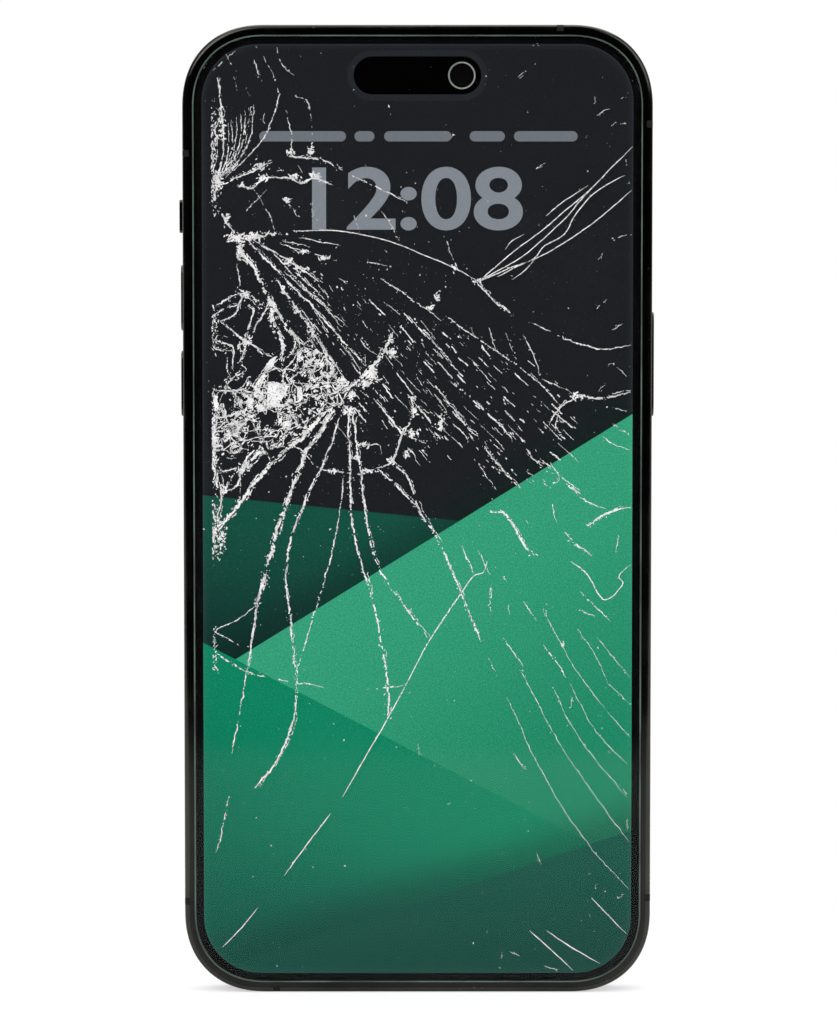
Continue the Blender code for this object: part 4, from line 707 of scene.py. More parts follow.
@dataclass
class Body:
    """Places that every piece shares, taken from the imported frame."""

    corner: float = 13.6 * MM
    profile: float = 0.54
    lip: float = 1.65 * MM
    finishes: dict[Slot, bpy.types.Material] = field(default_factory=dict)

    def __post_init__(self) -> None:
        """Reads the boxes of the frame and of the two glasses."""
        self.low, self.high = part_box("side_frame")
        self.glass_low, self.glass_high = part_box("front_glass")
        self.rear_low, self.rear_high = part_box("rear_glass")
        self.middle = (self.low + self.high) / 2

    def shell(
        self, name: str, inset: float, near: float, far: float, segments: int = 20
    ) -> bpy.types.Object:
        """A plate of the phone's outline.

        Args:
            name: Name of the new object.
            inset: How far its edge lies inside the frame's outer face.
            near: Its front level.
            far: Its rear level.
            segments: Faces round each corner.

        Returns:
            The object.
        """
        low = Vector((self.low.x + inset, near, self.low.z + inset))
        high = Vector((self.high.x - inset, far, self.high.z - inset))
        return block(name, low, high, Axis.Y, self.corner - inset, segments, self.profile)

    def dress(
        self,
        piece: bpy.types.Object,
        slot: Slot,
        body: str = "phone",
        nodes: Sequence[str] = (),
        material: bpy.types.Material | None = None,
    ) -> bpy.types.Object:
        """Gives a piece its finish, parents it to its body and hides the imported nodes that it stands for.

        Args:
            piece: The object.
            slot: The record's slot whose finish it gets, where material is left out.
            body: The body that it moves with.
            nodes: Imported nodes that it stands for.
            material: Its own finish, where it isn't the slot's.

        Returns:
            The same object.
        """
        piece.data.materials.clear()
        piece.data.materials.append(material or self.finishes[slot])
        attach(piece, body)
        if nodes:
            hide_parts(*nodes)
        log.info("%s: %d faces, on %s", piece.name, len(piece.data.polygons), body)
        return piece


@dataclass
class SideBand:
    """The polished frame with its ledges and openings, and the seal round the glass."""

    body: Body
    shoulder: float = 0.8 * MM
    wall: float = 2.6 * MM
    rear_lip: float = 1.3 * MM
    ledge: float = 0.8 * MM
    seal_width: float = 0.25 * MM
    running_gap: float = 0.08 * MM
    groove_width: float = 0.24 * MM
    groove_depth: float = 0.16 * MM

    def openings(self) -> list[bpy.types.Object]:
        """Cutters for the buttons, tray, strips, port, screws and grilles."""
        cutters = []
        out = 0.5 * MM
        for node in ("side_button", "volume_up_button", "volume_down_button", "sim_tray", "ring_switch"):
            low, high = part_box(node)
            side = 1 if low.x > 0 else -1
            faces = [high.x, low.x] if side > 0 else [low.x, high.x]
            outer = faces[0] + side * out
            inner = side * (self.body.high.x - self.wall - out)
            half = {"sim_tray": 1.3, "ring_switch": 1.45}.get(node, 1.45) * MM + self.running_gap
            length = high.z - low.z - (0.0 if node in ("sim_tray", "ring_switch") else 0.9 * MM)
            if node == "ring_switch":
                length = 7.0 * MM
                inner = side * (self.body.high.x - 0.7 * MM)
            span = length / 2 + self.running_gap
            middle = (low.z + high.z) / 2
            corner_low = Vector((min(outer, inner), self.mid_y - half, middle - span))
            corner_high = Vector((max(outer, inner), self.mid_y + half, middle + span))
            cutters.append(block("opening", corner_low, corner_high, Axis.X, half - TINY, 12))
        for node in ("top", "bottom", "left_upper", "left_lower", "right_upper", "right_lower"):
            low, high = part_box(f"antenna_strip_{node}")
            margin = Vector((0.03 * MM,) * 3)
            cutters.append(block("strip_groove", low - margin, high + margin))
        return cutters + self.lower_openings()

    @property
    def mid_y(self) -> float:
        """Middle of the frame's depth."""
        return (self.body.low.y + self.body.high.y) / 2

    def lower_openings(self) -> list[bpy.types.Object]:
        """Cutters through the lower edge."""
        cutters = []
        base, top = self.body.low.z - 0.5 * MM, self.body.low.z + self.wall + 0.5 * MM
        low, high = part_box("charge_port")
        margin = 0.03 * MM
        half = (high.y - low.y) / 2 + margin
        port_low = Vector((low.x - margin, self.mid_y - half, base))
        port_high = Vector((high.x + margin, self.mid_y + half, top))
        cutters.append(block("port_opening", port_low, port_high, Axis.Z, half - TINY, 12))
        places = [(side * (9.2 + 2.35 * index) * MM, 0.675 * MM) for side in (-1, 1) for index in range(6)]
        for node in ("bottom_screw_left", "bottom_screw_right"):
            low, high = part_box(node)
            places.append(((low.x + high.x) / 2, (high.x - low.x) / 2 + self.running_gap))
        for x, radius in places:
            hole_low = Vector((x - radius, self.mid_y - radius, base))
            hole_high = Vector((x + radius, self.mid_y + radius, top))
            cutters.append(block("hole", hole_low, hole_high, Axis.Z, radius - TINY, 6))
        low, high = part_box("earpiece_mesh")
        margin_box = Vector((0.03 * MM, 1.0 * MM, 0.03 * MM))
        cutters.append(block("earpiece_slot", low - margin_box, high + margin_box))
        return cutters

    def build(self) -> None:
        """Makes the band, the seal and a ring over the front lip that is painted darker than the band."""
        body = self.body
        band = body.shell("frame_band", 0.0, body.low.y, body.high.y, 28)
        soften(band, Axis.Y, body.low.y, self.shoulder, 6)
        soften(band, Axis.Y, body.high.y, self.shoulder, 6)
        ledge = body.glass_low.y + self.ledge - body.low.y
        rear_ledge = body.rear_low.y - 0.05 * MM - body.high.y
        to_wall = self.wall - body.lip
        to_lip = body.lip - self.shoulder - self.groove_width - TINY
        step_in(band, Axis.Y, body.low.y, (
            (TINY, self.groove_depth),
            (self.groove_width, -self.groove_depth),
            (to_lip, ledge),
            (to_wall, 0.0),
        ))
        rear_steps = ((self.rear_lip - self.shoulder, rear_ledge), (self.wall - self.rear_lip, 0.0))
        step_in(band, Axis.Y, body.high.y, rear_steps)
        with editing(band) as mesh:
            pick(mesh, mesh.faces, lambda face: len(face.verts) > 8)
            bpy.ops.mesh.bridge_edge_loops()
        carve(band, self.openings())
        polish(band)
        body.dress(band, Slot.FRAME, nodes=["side_frame"])
        near = body.glass_low.y + 0.1 * MM
        far = body.glass_low.y + self.ledge - 0.03 * MM
        width = self.seal_width - 0.04 * MM
        seal = self.hoop("glass_seal", body.lip + 0.02 * MM, near, far, ((width, 0.0),))
        body.dress(seal, Slot.SEAL, nodes=["display_gasket"])
        near = body.low.y + 0.1 * MM
        rise = near - body.low.y + 0.003 * MM
        start = self.shoulder + 0.02 * MM
        to_edge = body.lip - self.shoulder - self.groove_width - 0.02 * MM
        steps = ((self.groove_width, -rise), (to_edge, 0.0))
        ring = self.hoop("lip_ring", start, near, near + 0.3 * MM, steps)
        # The lip ring is a darker copy of the frame's metal: painted shade that makes the frame's flat
        # front lip read black.
        body.dress(ring, Slot.FRAME, material=Metal("lip_darkened_frame_metal", (0.02, 0.02, 0.019), 0.15).make())

    def hoop(
        self, name: str, inset: float, near: float, far: float, steps: Sequence[Point]
    ) -> bpy.types.Object:
        """A thin ring that follows the phone's outline.

        Args:
            name: Name of the new object.
            inset: How far its outer edge lies inside the frame's outer face.
            near: Its front level at that edge.
            far: Its rear level.
            steps: Insets and pushes of its front, as for step_in.

        Returns:
            The object.
        """
        ring = self.body.shell(name, inset, near, far, 24)
        step_in(ring, Axis.Y, near, steps)
        step_in(ring, Axis.Y, far, ((sum(step[0] for step in steps), 0.0),))
        with editing(ring) as mesh:
            pick(mesh, mesh.faces, lambda face: len(face.verts) > 8)
            bpy.ops.mesh.bridge_edge_loops()
        polish(ring)
        return ring


@dataclass
class Keys:
    """Polished caps of the buttons, the ring switch and the card tray."""

    body: Body
    edge: float = 0.2 * MM

    def build(self) -> None:
        """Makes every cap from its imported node's box."""
        for node in ("side_button", "volume_up_button", "volume_down_button"):
            self.cap(node)
        self.switch()
        copies = (
            ("tray_with_seat", "sim_tray", "card_tray", Slot.FRAME, 0.06),
            ("small_card", "sim_card", "card_tray", Slot.CARD, 0.05),
        )
        for name, node, body, slot, edge in copies:
            self.body.dress(true_copy(name, node, edge * MM), slot, body, [node])

    def cap(self, node: str) -> None:
        """Makes one pressed cap, its flange and the nub behind it.

        Args:
            node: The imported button, which is also its body's name.
        """
        low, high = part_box(node)
        side = 1 if low.x > 0 else -1
        flange = 0.45 * MM
        outer = high.x if side > 0 else low.x
        neck = side * (self.body.high.x - 2.65 * MM)
        half = (high.y - low.y) / 2 - flange
        span = (high.z - low.z) / 2 - flange
        mid_y, mid_z = (low.y + high.y) / 2, (low.z + high.z) / 2
        start = Vector((min(outer, neck), mid_y - half, mid_z - span))
        end = Vector((max(outer, neck), mid_y + half, mid_z + span))
        cap = block(f"{node}_cap", start, end, Axis.X, half - TINY, 14)
        soften(cap, Axis.X, outer, self.edge, 5)
        step_in(cap, Axis.X, neck, ((0.0, -side * 0.5 * MM), (half - 0.25 * MM, -side * 0.25 * MM)))
        polish(cap)
        self.body.dress(cap, Slot.FRAME, node, [node])

    def switch(self) -> None:
        """Makes the lever of the ring switch, with a grooved face."""
        low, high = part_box("ring_switch")
        floor = -(self.body.high.x - 0.65 * MM)
        lever_low = Vector((low.x, low.y, low.z))
        lever_high = Vector((floor, high.y, high.z))
        lever = block("ring_switch_lever", lever_low, lever_high, Axis.X, (high.y - low.y) / 3, 8)
        soften(lever, Axis.X, low.x, 0.15 * MM, 4)
        stem_half = 0.5 * MM
        mid_y, mid_z = (low.y + high.y) / 2, (low.z + high.z) / 2
        stem_low = Vector((floor - 0.3 * MM, mid_y - stem_half, mid_z - stem_half))
        stem_high = Vector((high.x, mid_y + stem_half, mid_z + stem_half))
        stem = block("stem", stem_low, stem_high, Axis.X, stem_half - TINY, 8)
        carve(lever, [stem], "UNION")
        polish(lever)
        self.body.dress(lever, Slot.FRAME, "ring_switch", ["ring_switch"])


@dataclass
class Display:
    """Lit panel, the printed border behind the glass, the island with its camera, and the clock."""

    body: Body
    width: float = 71.2 * MM
    height: float = 154.4 * MM
    corner: float = 9.4 * MM
    island_drop: float = 8.3 * MM
    island_width: float = 21.0 * MM
    island_height: float = 6.24 * MM
    print_gap: float = 0.01 * MM
    print_thickness: float = 0.02 * MM
    clock: str = "12:08"
    clock_bottom: float = 126.9 * MM
    clock_height: float = 10.5 * MM
    clock_width: float = 34.8 * MM
    line_z: float = 142.4 * MM
    line_words: tuple[tuple[float, float], ...] = (
        (-26.1, -11.8), (-10.4, -7.1), (-5.5, 5.6), (8.6, 14.4), (15.9, 26.4),
    )

    def build(self) -> None:
        """Makes the prints, the clock and the front camera."""
        near = self.body.glass_high.y + self.print_gap
        far = near + self.print_thickness
        self.island_z = self.body.high.z - self.island_drop
        self.border(near, far)
        self.island(near, far)
        self.digits(near, far)
        self.words(near, far)
        self.camera()

    def screen_finish(self) -> bpy.types.Material:
        """The picture on the panel."""
        island = Vector((0.0, self.body.high.z - self.island_drop))
        half = Vector((self.island_width / 2, self.island_height / 2))
        return LitScreen(
            "lit_screen", self.body.middle.z, self.width / 2, self.height / 2, self.corner, island, half
        ).make()

    def border(self, near: float, far: float) -> None:
        """Makes the black border printed on the back of the glass.

        Args:
            near: Its front level.
            far: Its rear level.
        """
        border = self.body.shell("border_print", self.body.lip + 0.3 * MM, near, far, 24)
        middle = self.body.middle
        half = Vector((self.width / 2, 1.0 * MM, self.height / 2))
        window = block("window", middle - half, middle + half, Axis.Y, self.corner, 24)
        for vert in window.data.vertices:
            vert.co.y += near - middle.y
        carve(border, [window])
        polish(border)
        ink = Moulded("border_ink", (0.0015, 0.0015, 0.0015), 0.5, shine=0.05).make()
        self.body.dress(border, Slot.BLACK, material=ink)

    def island(self, near: float, far: float) -> None:
        """Makes the black island round the front camera.

        Args:
            near: Its front level.
            far: Its rear level.
        """
        half = Vector((self.island_width / 2, 0, self.island_height / 2))
        low = Vector((-half.x, near, self.island_z - half.z))
        high = Vector((half.x, far, self.island_z + half.z))
        pill = block("island_print", low, high, Axis.Y, half.z - TINY, 20)
        lens_low, lens_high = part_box("front_camera")
        middle = (lens_low + lens_high) / 2
        radius = (lens_high.x - lens_low.x) / 2 - 0.1 * MM
        hole = disc("lens_hole", Vector((middle.x, near - 0.5 * MM, middle.z)), radius, 1.0 * MM)
        carve(pill, [hole])
        polish(pill)
        ink = Moulded("island_ink", (0.0006, 0.0006, 0.0006), 0.5, shine=0.0).make()
        self.body.dress(pill, Slot.BLACK, material=ink)

    def digits(self, near: float, far: float) -> None:
        """Makes the clock's plain digits.

        Args:
            near: Their front level.
            far: Their rear level.
        """
        clear_selection()
        bpy.ops.object.text_add(location=(0, 0, 0), rotation=(math.pi / 2, 0, 0))
        text = bpy.context.object
        text.data.body = self.clock
        text.data.align_x = "CENTER"
        text.data.size = 1.0
        text.data.offset = 0.018
        text.data.space_character = 1.0
        text.data.resolution_u = 8
        text.data.extrude = 0.5
        bpy.ops.object.convert(target="MESH")
        text.name = "clock_digits"
        bpy.ops.object.transform_apply(location=True, rotation=True, scale=True)
        places = [vert.co for vert in text.data.vertices]
        low = Vector([min(co[i] for co in places) for i in range(3)])
        high = Vector([max(co[i] for co in places) for i in range(3)])
        for vert in text.data.vertices:
            share = [(vert.co[i] - low[i]) / (high[i] - low[i]) for i in range(3)]
            vert.co.x = (share[0] - 0.5) * self.clock_width
            vert.co.y = near + share[1] * (far - near)
            vert.co.z = self.clock_bottom + share[2] * self.clock_height
        self.body.dress(text, Slot.SCREEN, material=Glow("clock_glow", (0.235, 0.255, 0.29)).make())

    def words(self, near: float, far: float) -> None:
        """Makes the plain bars that stand where a line of small text would.

        Args:
            near: Their front level.
            far: Their rear level.
        """
        glow = Glow("line_glow", (0.165, 0.18, 0.205)).make()
        half = 0.85 * MM
        bars = []
        for start, end in self.line_words:
            low = Vector((start * MM, near, self.line_z - half))
            high = Vector((end * MM, far, self.line_z + half))
            bars.append(block("text_line", low, high, Axis.Y, half - TINY, 8))
        choose_object(bars[0])
        for bar in bars[1:]:
            bar.select_set(True)
        bpy.ops.object.join()
        self.body.dress(bars[0], Slot.SCREEN, material=glow)

    def camera(self) -> None:
        """Makes the front camera's ring and its domed lens."""
        low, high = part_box("front_camera")
        middle = Vector(((low.x + high.x) / 2, low.y, (low.z + high.z) / 2))
        radius = (high.x - low.x) / 2
        ring = disc("front_camera_barrel", middle, radius, high.y - low.y)
        step_in(ring, Axis.Y, low.y, ((0.3 * MM, 1.2 * MM),))
        polish(ring)
        self.body.dress(ring, Slot.CAMERA_RING, nodes=["front_camera"])
        start = middle + Vector((0, 0.25 * MM, 0))
        lens = disc("front_camera_lens_stack", start, radius - 0.38 * MM, 0.9 * MM)
        step_in(lens, Axis.Y, start.y, (
            (0.35 * MM, 0.12 * MM),
            (0.12 * MM, -0.06 * MM),
            (0.45 * MM, 0.2 * MM),
            (0.1 * MM, -0.1 * MM),
        ))
        polish(lens)
        self.body.dress(lens, Slot.LENS, nodes=["front_camera_lens"])


# Insets and rises, in millimetres, from the rim of a rear lens to the top of its dome
DOME_STEPS: tuple[Point, ...] = (
    (0.35, -0.3), (0.3, 0.0), (0.08, 0.12), (0.35, 0.3), (0.5, 0.22), (0.6, 0.14), (0.6, 0.07), (0.5, 0.02),
)


@dataclass
class Back:
    """Rear glass with its plateau, the lens rings with their covers, and the windows."""

    body: Body
    inset: float = 1.33 * MM
    edge: float = 0.25 * MM
    thickness: float = 0.85 * MM
    plateau_edge: float = 0.7 * MM
    ring_wall: float = 1.5 * MM
    well_radius: float = 3.9 * MM
    well_depth: float = 1.2 * MM
    lens_foot: float = 0.2 * MM
    lens_height: float = 0.9 * MM

    def build(self) -> None:
        """Makes every piece that shows from behind."""
        body = self.body
        near = body.rear_low.y
        face = near + self.thickness
        glass = body.shell("rear_cover", self.inset, near, face, 24)
        soften(glass, Axis.Y, face, self.edge, 4)
        cage_low, cage_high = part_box("camera_cage")
        grow = Vector((1.0 * MM, 0, 1.0 * MM))
        low = Vector((cage_low.x, near + self.thickness / 2, cage_low.z)) - grow
        high = Vector((cage_high.x, body.rear_high.y, cage_high.z)) + grow
        plateau = block("plateau", low, high, Axis.Y, 10.0 * MM, 20, body.profile)
        soften(plateau, Axis.Y, high.y, self.plateau_edge, 6)
        carve(glass, [plateau], "UNION")
        polish(glass)
        holes = []
        for name in ("wide", "main", "tele"):
            ring_low, ring_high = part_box(f"camera_ring_{name}")
            middle = (ring_low + ring_high) / 2
            radius = (ring_high.x - ring_low.x) / 2 - self.ring_wall + 0.03 * MM
            holes.append(disc("lens_hole", Vector((middle.x, near - MM, middle.z)), radius, 6 * MM, 48))
        for name in ("flash_window", "depth_sensor_window"):
            window_low, window_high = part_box(name)
            middle = (window_low + window_high) / 2
            radius = (window_high.x - window_low.x) / 2 + 0.03 * MM
            holes.append(disc("window_hole", Vector((middle.x, near - MM, middle.z)), radius, 6 * MM, 48))
        inner_low = Vector((low.x, near - MM, low.z)) + 1.7 * grow
        inner_high = Vector((high.x, high.y - self.thickness, high.z)) - 1.7 * grow
        holes.append(block("plateau_hollow", inner_low, inner_high, Axis.Y, 8.3 * MM, 8, body.profile))
        carve(glass, holes)
        polish(glass)
        body.dress(glass, Slot.REAR, nodes=["rear_glass"])
        for name in ("wide", "main", "tele"):
            self.lens(name)
        for name in ("flash_window", "depth_sensor_window"):
            self.window(name)

    def lens(self, name: str) -> None:
        """Makes one lens ring and its clear cover.

        Args:
            name: Which of the three lenses.
        """
        low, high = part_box(f"camera_ring_{name}")
        middle = (low + high) / 2
        radius = (high.x - low.x) / 2
        inner = radius - self.ring_wall
        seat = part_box("rear_glass")[1].y + 0.05 * MM
        ring = disc(f"lens_ring_{name}", Vector((middle.x, low.y, middle.z)), inner, seat - low.y, 96)
        collar = disc("collar", Vector((middle.x, seat, middle.z)), radius, high.y - seat, 96)
        soften(collar, Axis.Y, high.y, 0.35 * MM, 5)
        carve(ring, [collar], "UNION")
        bore = disc("bore", Vector((middle.x, low.y - MM, middle.z)), inner - 0.72 * MM, 9 * MM, 96)
        cover_low, cover_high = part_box(f"camera_cover_{name}")
        seat_depth = high.y + MM - cover_low.y + 0.05 * MM
        rest = Vector((middle.x, cover_low.y - 0.05 * MM, middle.z))
        recess = disc("recess", rest, inner, seat_depth, 96)
        carve(ring, [bore, recess])
        polish(ring)
        self.body.dress(ring, Slot.STEEL, nodes=[f"camera_ring_{name}"])
        start = Vector((middle.x, cover_low.y, middle.z))
        thickness = cover_high.y - cover_low.y
        cover = disc(f"lens_cover_{name}", start, inner - 0.04 * MM, thickness, 96)
        soften(cover, Axis.Y, cover_high.y, 0.08 * MM, 3)
        polish(cover)
        self.body.dress(cover, Slot.COVER, nodes=[f"camera_cover_{name}"])
        self.module(name, middle)

    def module(self, name: str, middle: Vector) -> None:
        """Makes one camera module with a well for its domed lens.

        Args:
            name: Which of the three cameras.
            middle: A point on its axis.
        """
        node = f"camera_module_{name}"
        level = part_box(node)[1].y
        module = true_copy(f"module_{name}", node)
        floor = Vector((middle.x, level - self.well_depth, middle.z))
        carve(module, [disc("well", floor, self.well_radius, 2 * MM)])
        polish(module)
        self.body.dress(module, Slot.BLACK, nodes=[node])
        foot = floor - Vector((0, self.lens_foot, 0))
        lens = disc(f"lens_stack_{name}", foot, self.well_radius - 0.02 * MM, self.lens_height)
        steps = [(inset * MM, rise * MM) for inset, rise in DOME_STEPS]
        step_in(lens, Axis.Y, foot.y + self.lens_height, steps)
        polish(lens)
        # The violet second colour is a painted sheen of the lens coating, strongest at the dome's grazing
        # rim.
        glass = CoatedLens("rear_lens_glass", (0.006, 0.006, 0.009), (0.16, 0.08, 0.4)).make()
        self.body.dress(lens, Slot.LENS, material=glass)

    def window(self, name: str) -> None:
        """Makes one small window.

        Args:
            name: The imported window.
        """
        low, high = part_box(name)
        middle = (low + high) / 2
        front = Vector((middle.x, low.y, middle.z))
        pane = disc(f"{name}_pane", front, (high.x - low.x) / 2, high.y - low.y)
        soften(pane, Axis.Y, high.y, 0.1 * MM, 3)
        polish(pane)
        finish = ClearPane(f"{name}_glass", high.y, 1.0, 1.4, 0.01).make()
        self.body.dress(pane, Slot.COVER, nodes=[name], material=finish)


# Routes, (x, z) in millimetres

WIDE_ROUTES: tuple[tuple[Point, ...], ...] = (
    (
        (-14.5, 97.6), (-16, 96), (-18, 94), (-19, 92.6), (-20.4, 91.8), (-22, 90.4), (-24, 88.6),
        (-26, 86.4), (-27.6, 84.6), (-29, 82.6), (-30.4, 80.8), (-32, 78.8), (-33, 77.2),
    ),
    (
        (-14, 97), (-15, 95.5), (-16.4, 93), (-18, 91), (-19.4, 88), (-20.6, 85), (-21.6, 82),
        (-22.6, 79.6), (-23.6, 76), (-24.6, 72.6), (-25.2, 70), (-26.6, 65),
    ),
    (
        (-29.8, 125.4), (-29, 123), (-27, 121), (-26.2, 119), (-25, 117), (-24.3, 115.3),
        (-23.3, 113.6), (-21, 110.3), (-18.8, 108),
    ),
    ((-31.4, 125.4), (-29, 125.6), (-25, 126)),
    ((-12.3, 100.2), (-8.9, 102.8), (-6.1, 106.2), (-4.3, 109.6)),
    ((-29.5, 117.2), (-28.4, 116.6), (-27, 115.4), (-25.4, 114.3)),
    ((-24, 114), (-24.2, 112), (-23, 110), (-22.4, 108.4), (-22.2, 106.8), (-22.6, 105.3)),
    ((-23.4, 106), (-25, 104), (-25.8, 102.4), (-27, 100)),
    ((-26.5, 97.2), (-24.5, 97.8), (-22, 98), (-20, 98.6), (-18.3, 98.6)),
    ((-25, 90.3), (-26.4, 90), (-27.4, 89), (-28.6, 87.8), (-29.6, 86.6)),
    ((-29, 103.4), (-31, 102.2), (-32.6, 101), (-33.4, 100.4)),
    ((-33, 94), (-31, 94.8), (-29.4, 95.8), (-27.6, 96.4)),
)

FIRM_ROUTES: tuple[tuple[Point, ...], ...] = (
    (
        (-13, 96), (-13.8, 93), (-15, 90), (-16.4, 87), (-17.6, 84.6), (-19.4, 80.4), (-20.6, 77),
        (-21.4, 74), (-22, 70),
    ),
    ((-33.9, 114.4), (-32, 115.2), (-30.5, 116), (-29.3, 116.6)),
    ((-33.3, 113.2), (-32, 114), (-30, 114.5), (-29.3, 114.6)),
    ((-28.6, 116.4), (-29.4, 114.8), (-30.2, 113), (-31.6, 112.3), (-32.7, 112)),
    ((-32.5, 111.8), (-31, 110.7), (-29, 109), (-28, 108.4), (-26.5, 107.4), (-25, 106.4), (-23.6, 106)),
    ((-28, 114.6), (-27, 113.9), (-27.2, 112.8), (-27.8, 111), (-28.4, 109.6), (-28.5, 108.3)),
    ((-24.6, 115), (-25.4, 113.4), (-26.4, 111.8), (-27.2, 110)),
    ((-20.6, 109.6), (-20.3, 108.2), (-20.6, 107), (-21.3, 106.3)),
    ((-33.6, 108.8), (-32, 108.4), (-30.6, 107.7), (-30.5, 106), (-30.6, 104)),
    ((-33.7, 107.5), (-32, 107), (-30.7, 107)),
    ((-28.6, 108.2), (-29.6, 108), (-29, 106.4), (-29.4, 105), (-28.8, 104), (-29, 103)),
    ((-28.2, 108), (-28.8, 106.6), (-29.5, 105)),
    ((-33.4, 100.4), (-30, 100.6), (-28, 100.3), (-26.8, 100)),
    ((-33.2, 100), (-33.4, 98.5), (-33.2, 97), (-32.8, 96)),
    ((-18.8, 108), (-17.4, 109), (-16.2, 109.6)),
    ((-16.2, 109), (-15.6, 107), (-14.8, 105.4), (-13.6, 104)),
    ((-33.4, 96), (-31, 96.4), (-29.6, 96.8), (-28.2, 97.4)),
    ((-32.8, 92), (-31.2, 93.2), (-29.8, 94), (-28.4, 95.2), (-27.4, 96.4)),
    ((-23.2, 97.6), (-22.9, 96.4), (-23.6, 95), (-24.2, 94), (-25, 94.4)),
    ((-20.8, 97), (-21.4, 95), (-21.6, 93.4), (-22.8, 92.2), (-24, 91.2)),
    ((-25.4, 90.6), (-27.4, 90.2), (-29, 88.2), (-31, 87.4), (-33.4, 87)),
    ((-29.6, 88), (-29.6, 85.6), (-30.6, 84.2), (-32, 83.8), (-32.6, 83.4)),
    ((-28.4, 87.6), (-30, 87), (-31.4, 85.4), (-32, 84)),
    ((-33.3, 87), (-33.2, 85), (-32.6, 84), (-32.4, 82.5), (-33, 80), (-33.2, 78)),
    ((-19.8, 101), (-19.5, 99.5), (-19.6, 98.6)),
    ((-26.6, 65), (-28.2, 54.5)),
    ((-22, 70), (-21, 61), (-20.3, 54), (-20.4, 46.7), (-23.2, 39.3), (-27.2, 33.8)),
    ((-11.4, 97.5), (-11.2, 86), (-10.4, 76), (-7, 64), (-4.9, 51), (-4.9, 46)),
    ((-10.6, 97), (-9.2, 85), (-7, 72.5), (-3, 66), (1.9, 59.3)),
    ((-4.2, 88.6), (-1.6, 85.9), (0.7, 80), (3.6, 75.4), (7.2, 66.8), (10.8, 58.4)),
    ((-6.6, 87.6), (-3, 84.3), (0.7, 80)),
    ((-6.6, 87.6), (-4.2, 88.8), (-2.4, 93.4), (-0.8, 96), (-1, 99)),
    ((-28, 125.4), (-23.5, 120.6), (-17.5, 114.5), (-12, 108.2), (-10.4, 106.6)),
    ((-27, 125.2), (-21, 121.8), (-15.6, 118)),
    ((-23.2, 118.8), (-20, 114), (-17.5, 110.6), (-14.6, 106), (-12.6, 103.2)),
    ((6.2, 101.8), (11, 97.3), (15, 93.3), (15.8, 92)),
    ((3.8, 100.2), (7, 96), (10.2, 92.7)),
    ((-7, 98.8), (-4.4, 95.6), (-2.4, 93.4), (1.4, 91.8)),
    ((-21.1, 139), (-18.4, 138.8), (-16, 138.5), (-12.3, 136.9)),
    ((-33, 134), (-30, 135.6), (-25.8, 137.2), (-24, 138.3)),
    (
        (-29.2, 134.2), (-27.2, 134), (-25, 135.5), (-21, 135.4), (-19, 134.6), (-17.4, 135.6),
        (-14, 134.4),
    ),
    ((-33, 152), (-32.2, 146), (-32, 140), (-33.2, 134), (-33.4, 132), (-31.4, 128), (-29, 125.6)),
    ((9.8, 118.4), (12.5, 115.4), (16, 112.8)),
    ((21.7, 94.8), (23.8, 97.8), (27, 99.6), (30, 99.1), (35.2, 100.3)),
    ((11, 91.2), (14, 87.4), (17, 84.3)),
    ((18, 90.8), (19, 89.2), (20.8, 88)),
    ((28.2, 78), (32, 80.4), (35.2, 81.2)),
    ((24.4, 77), (26.2, 75), (28.8, 73)),
    ((12, 80.3), (14.5, 80), (17.6, 75), (19.2, 73)),
)

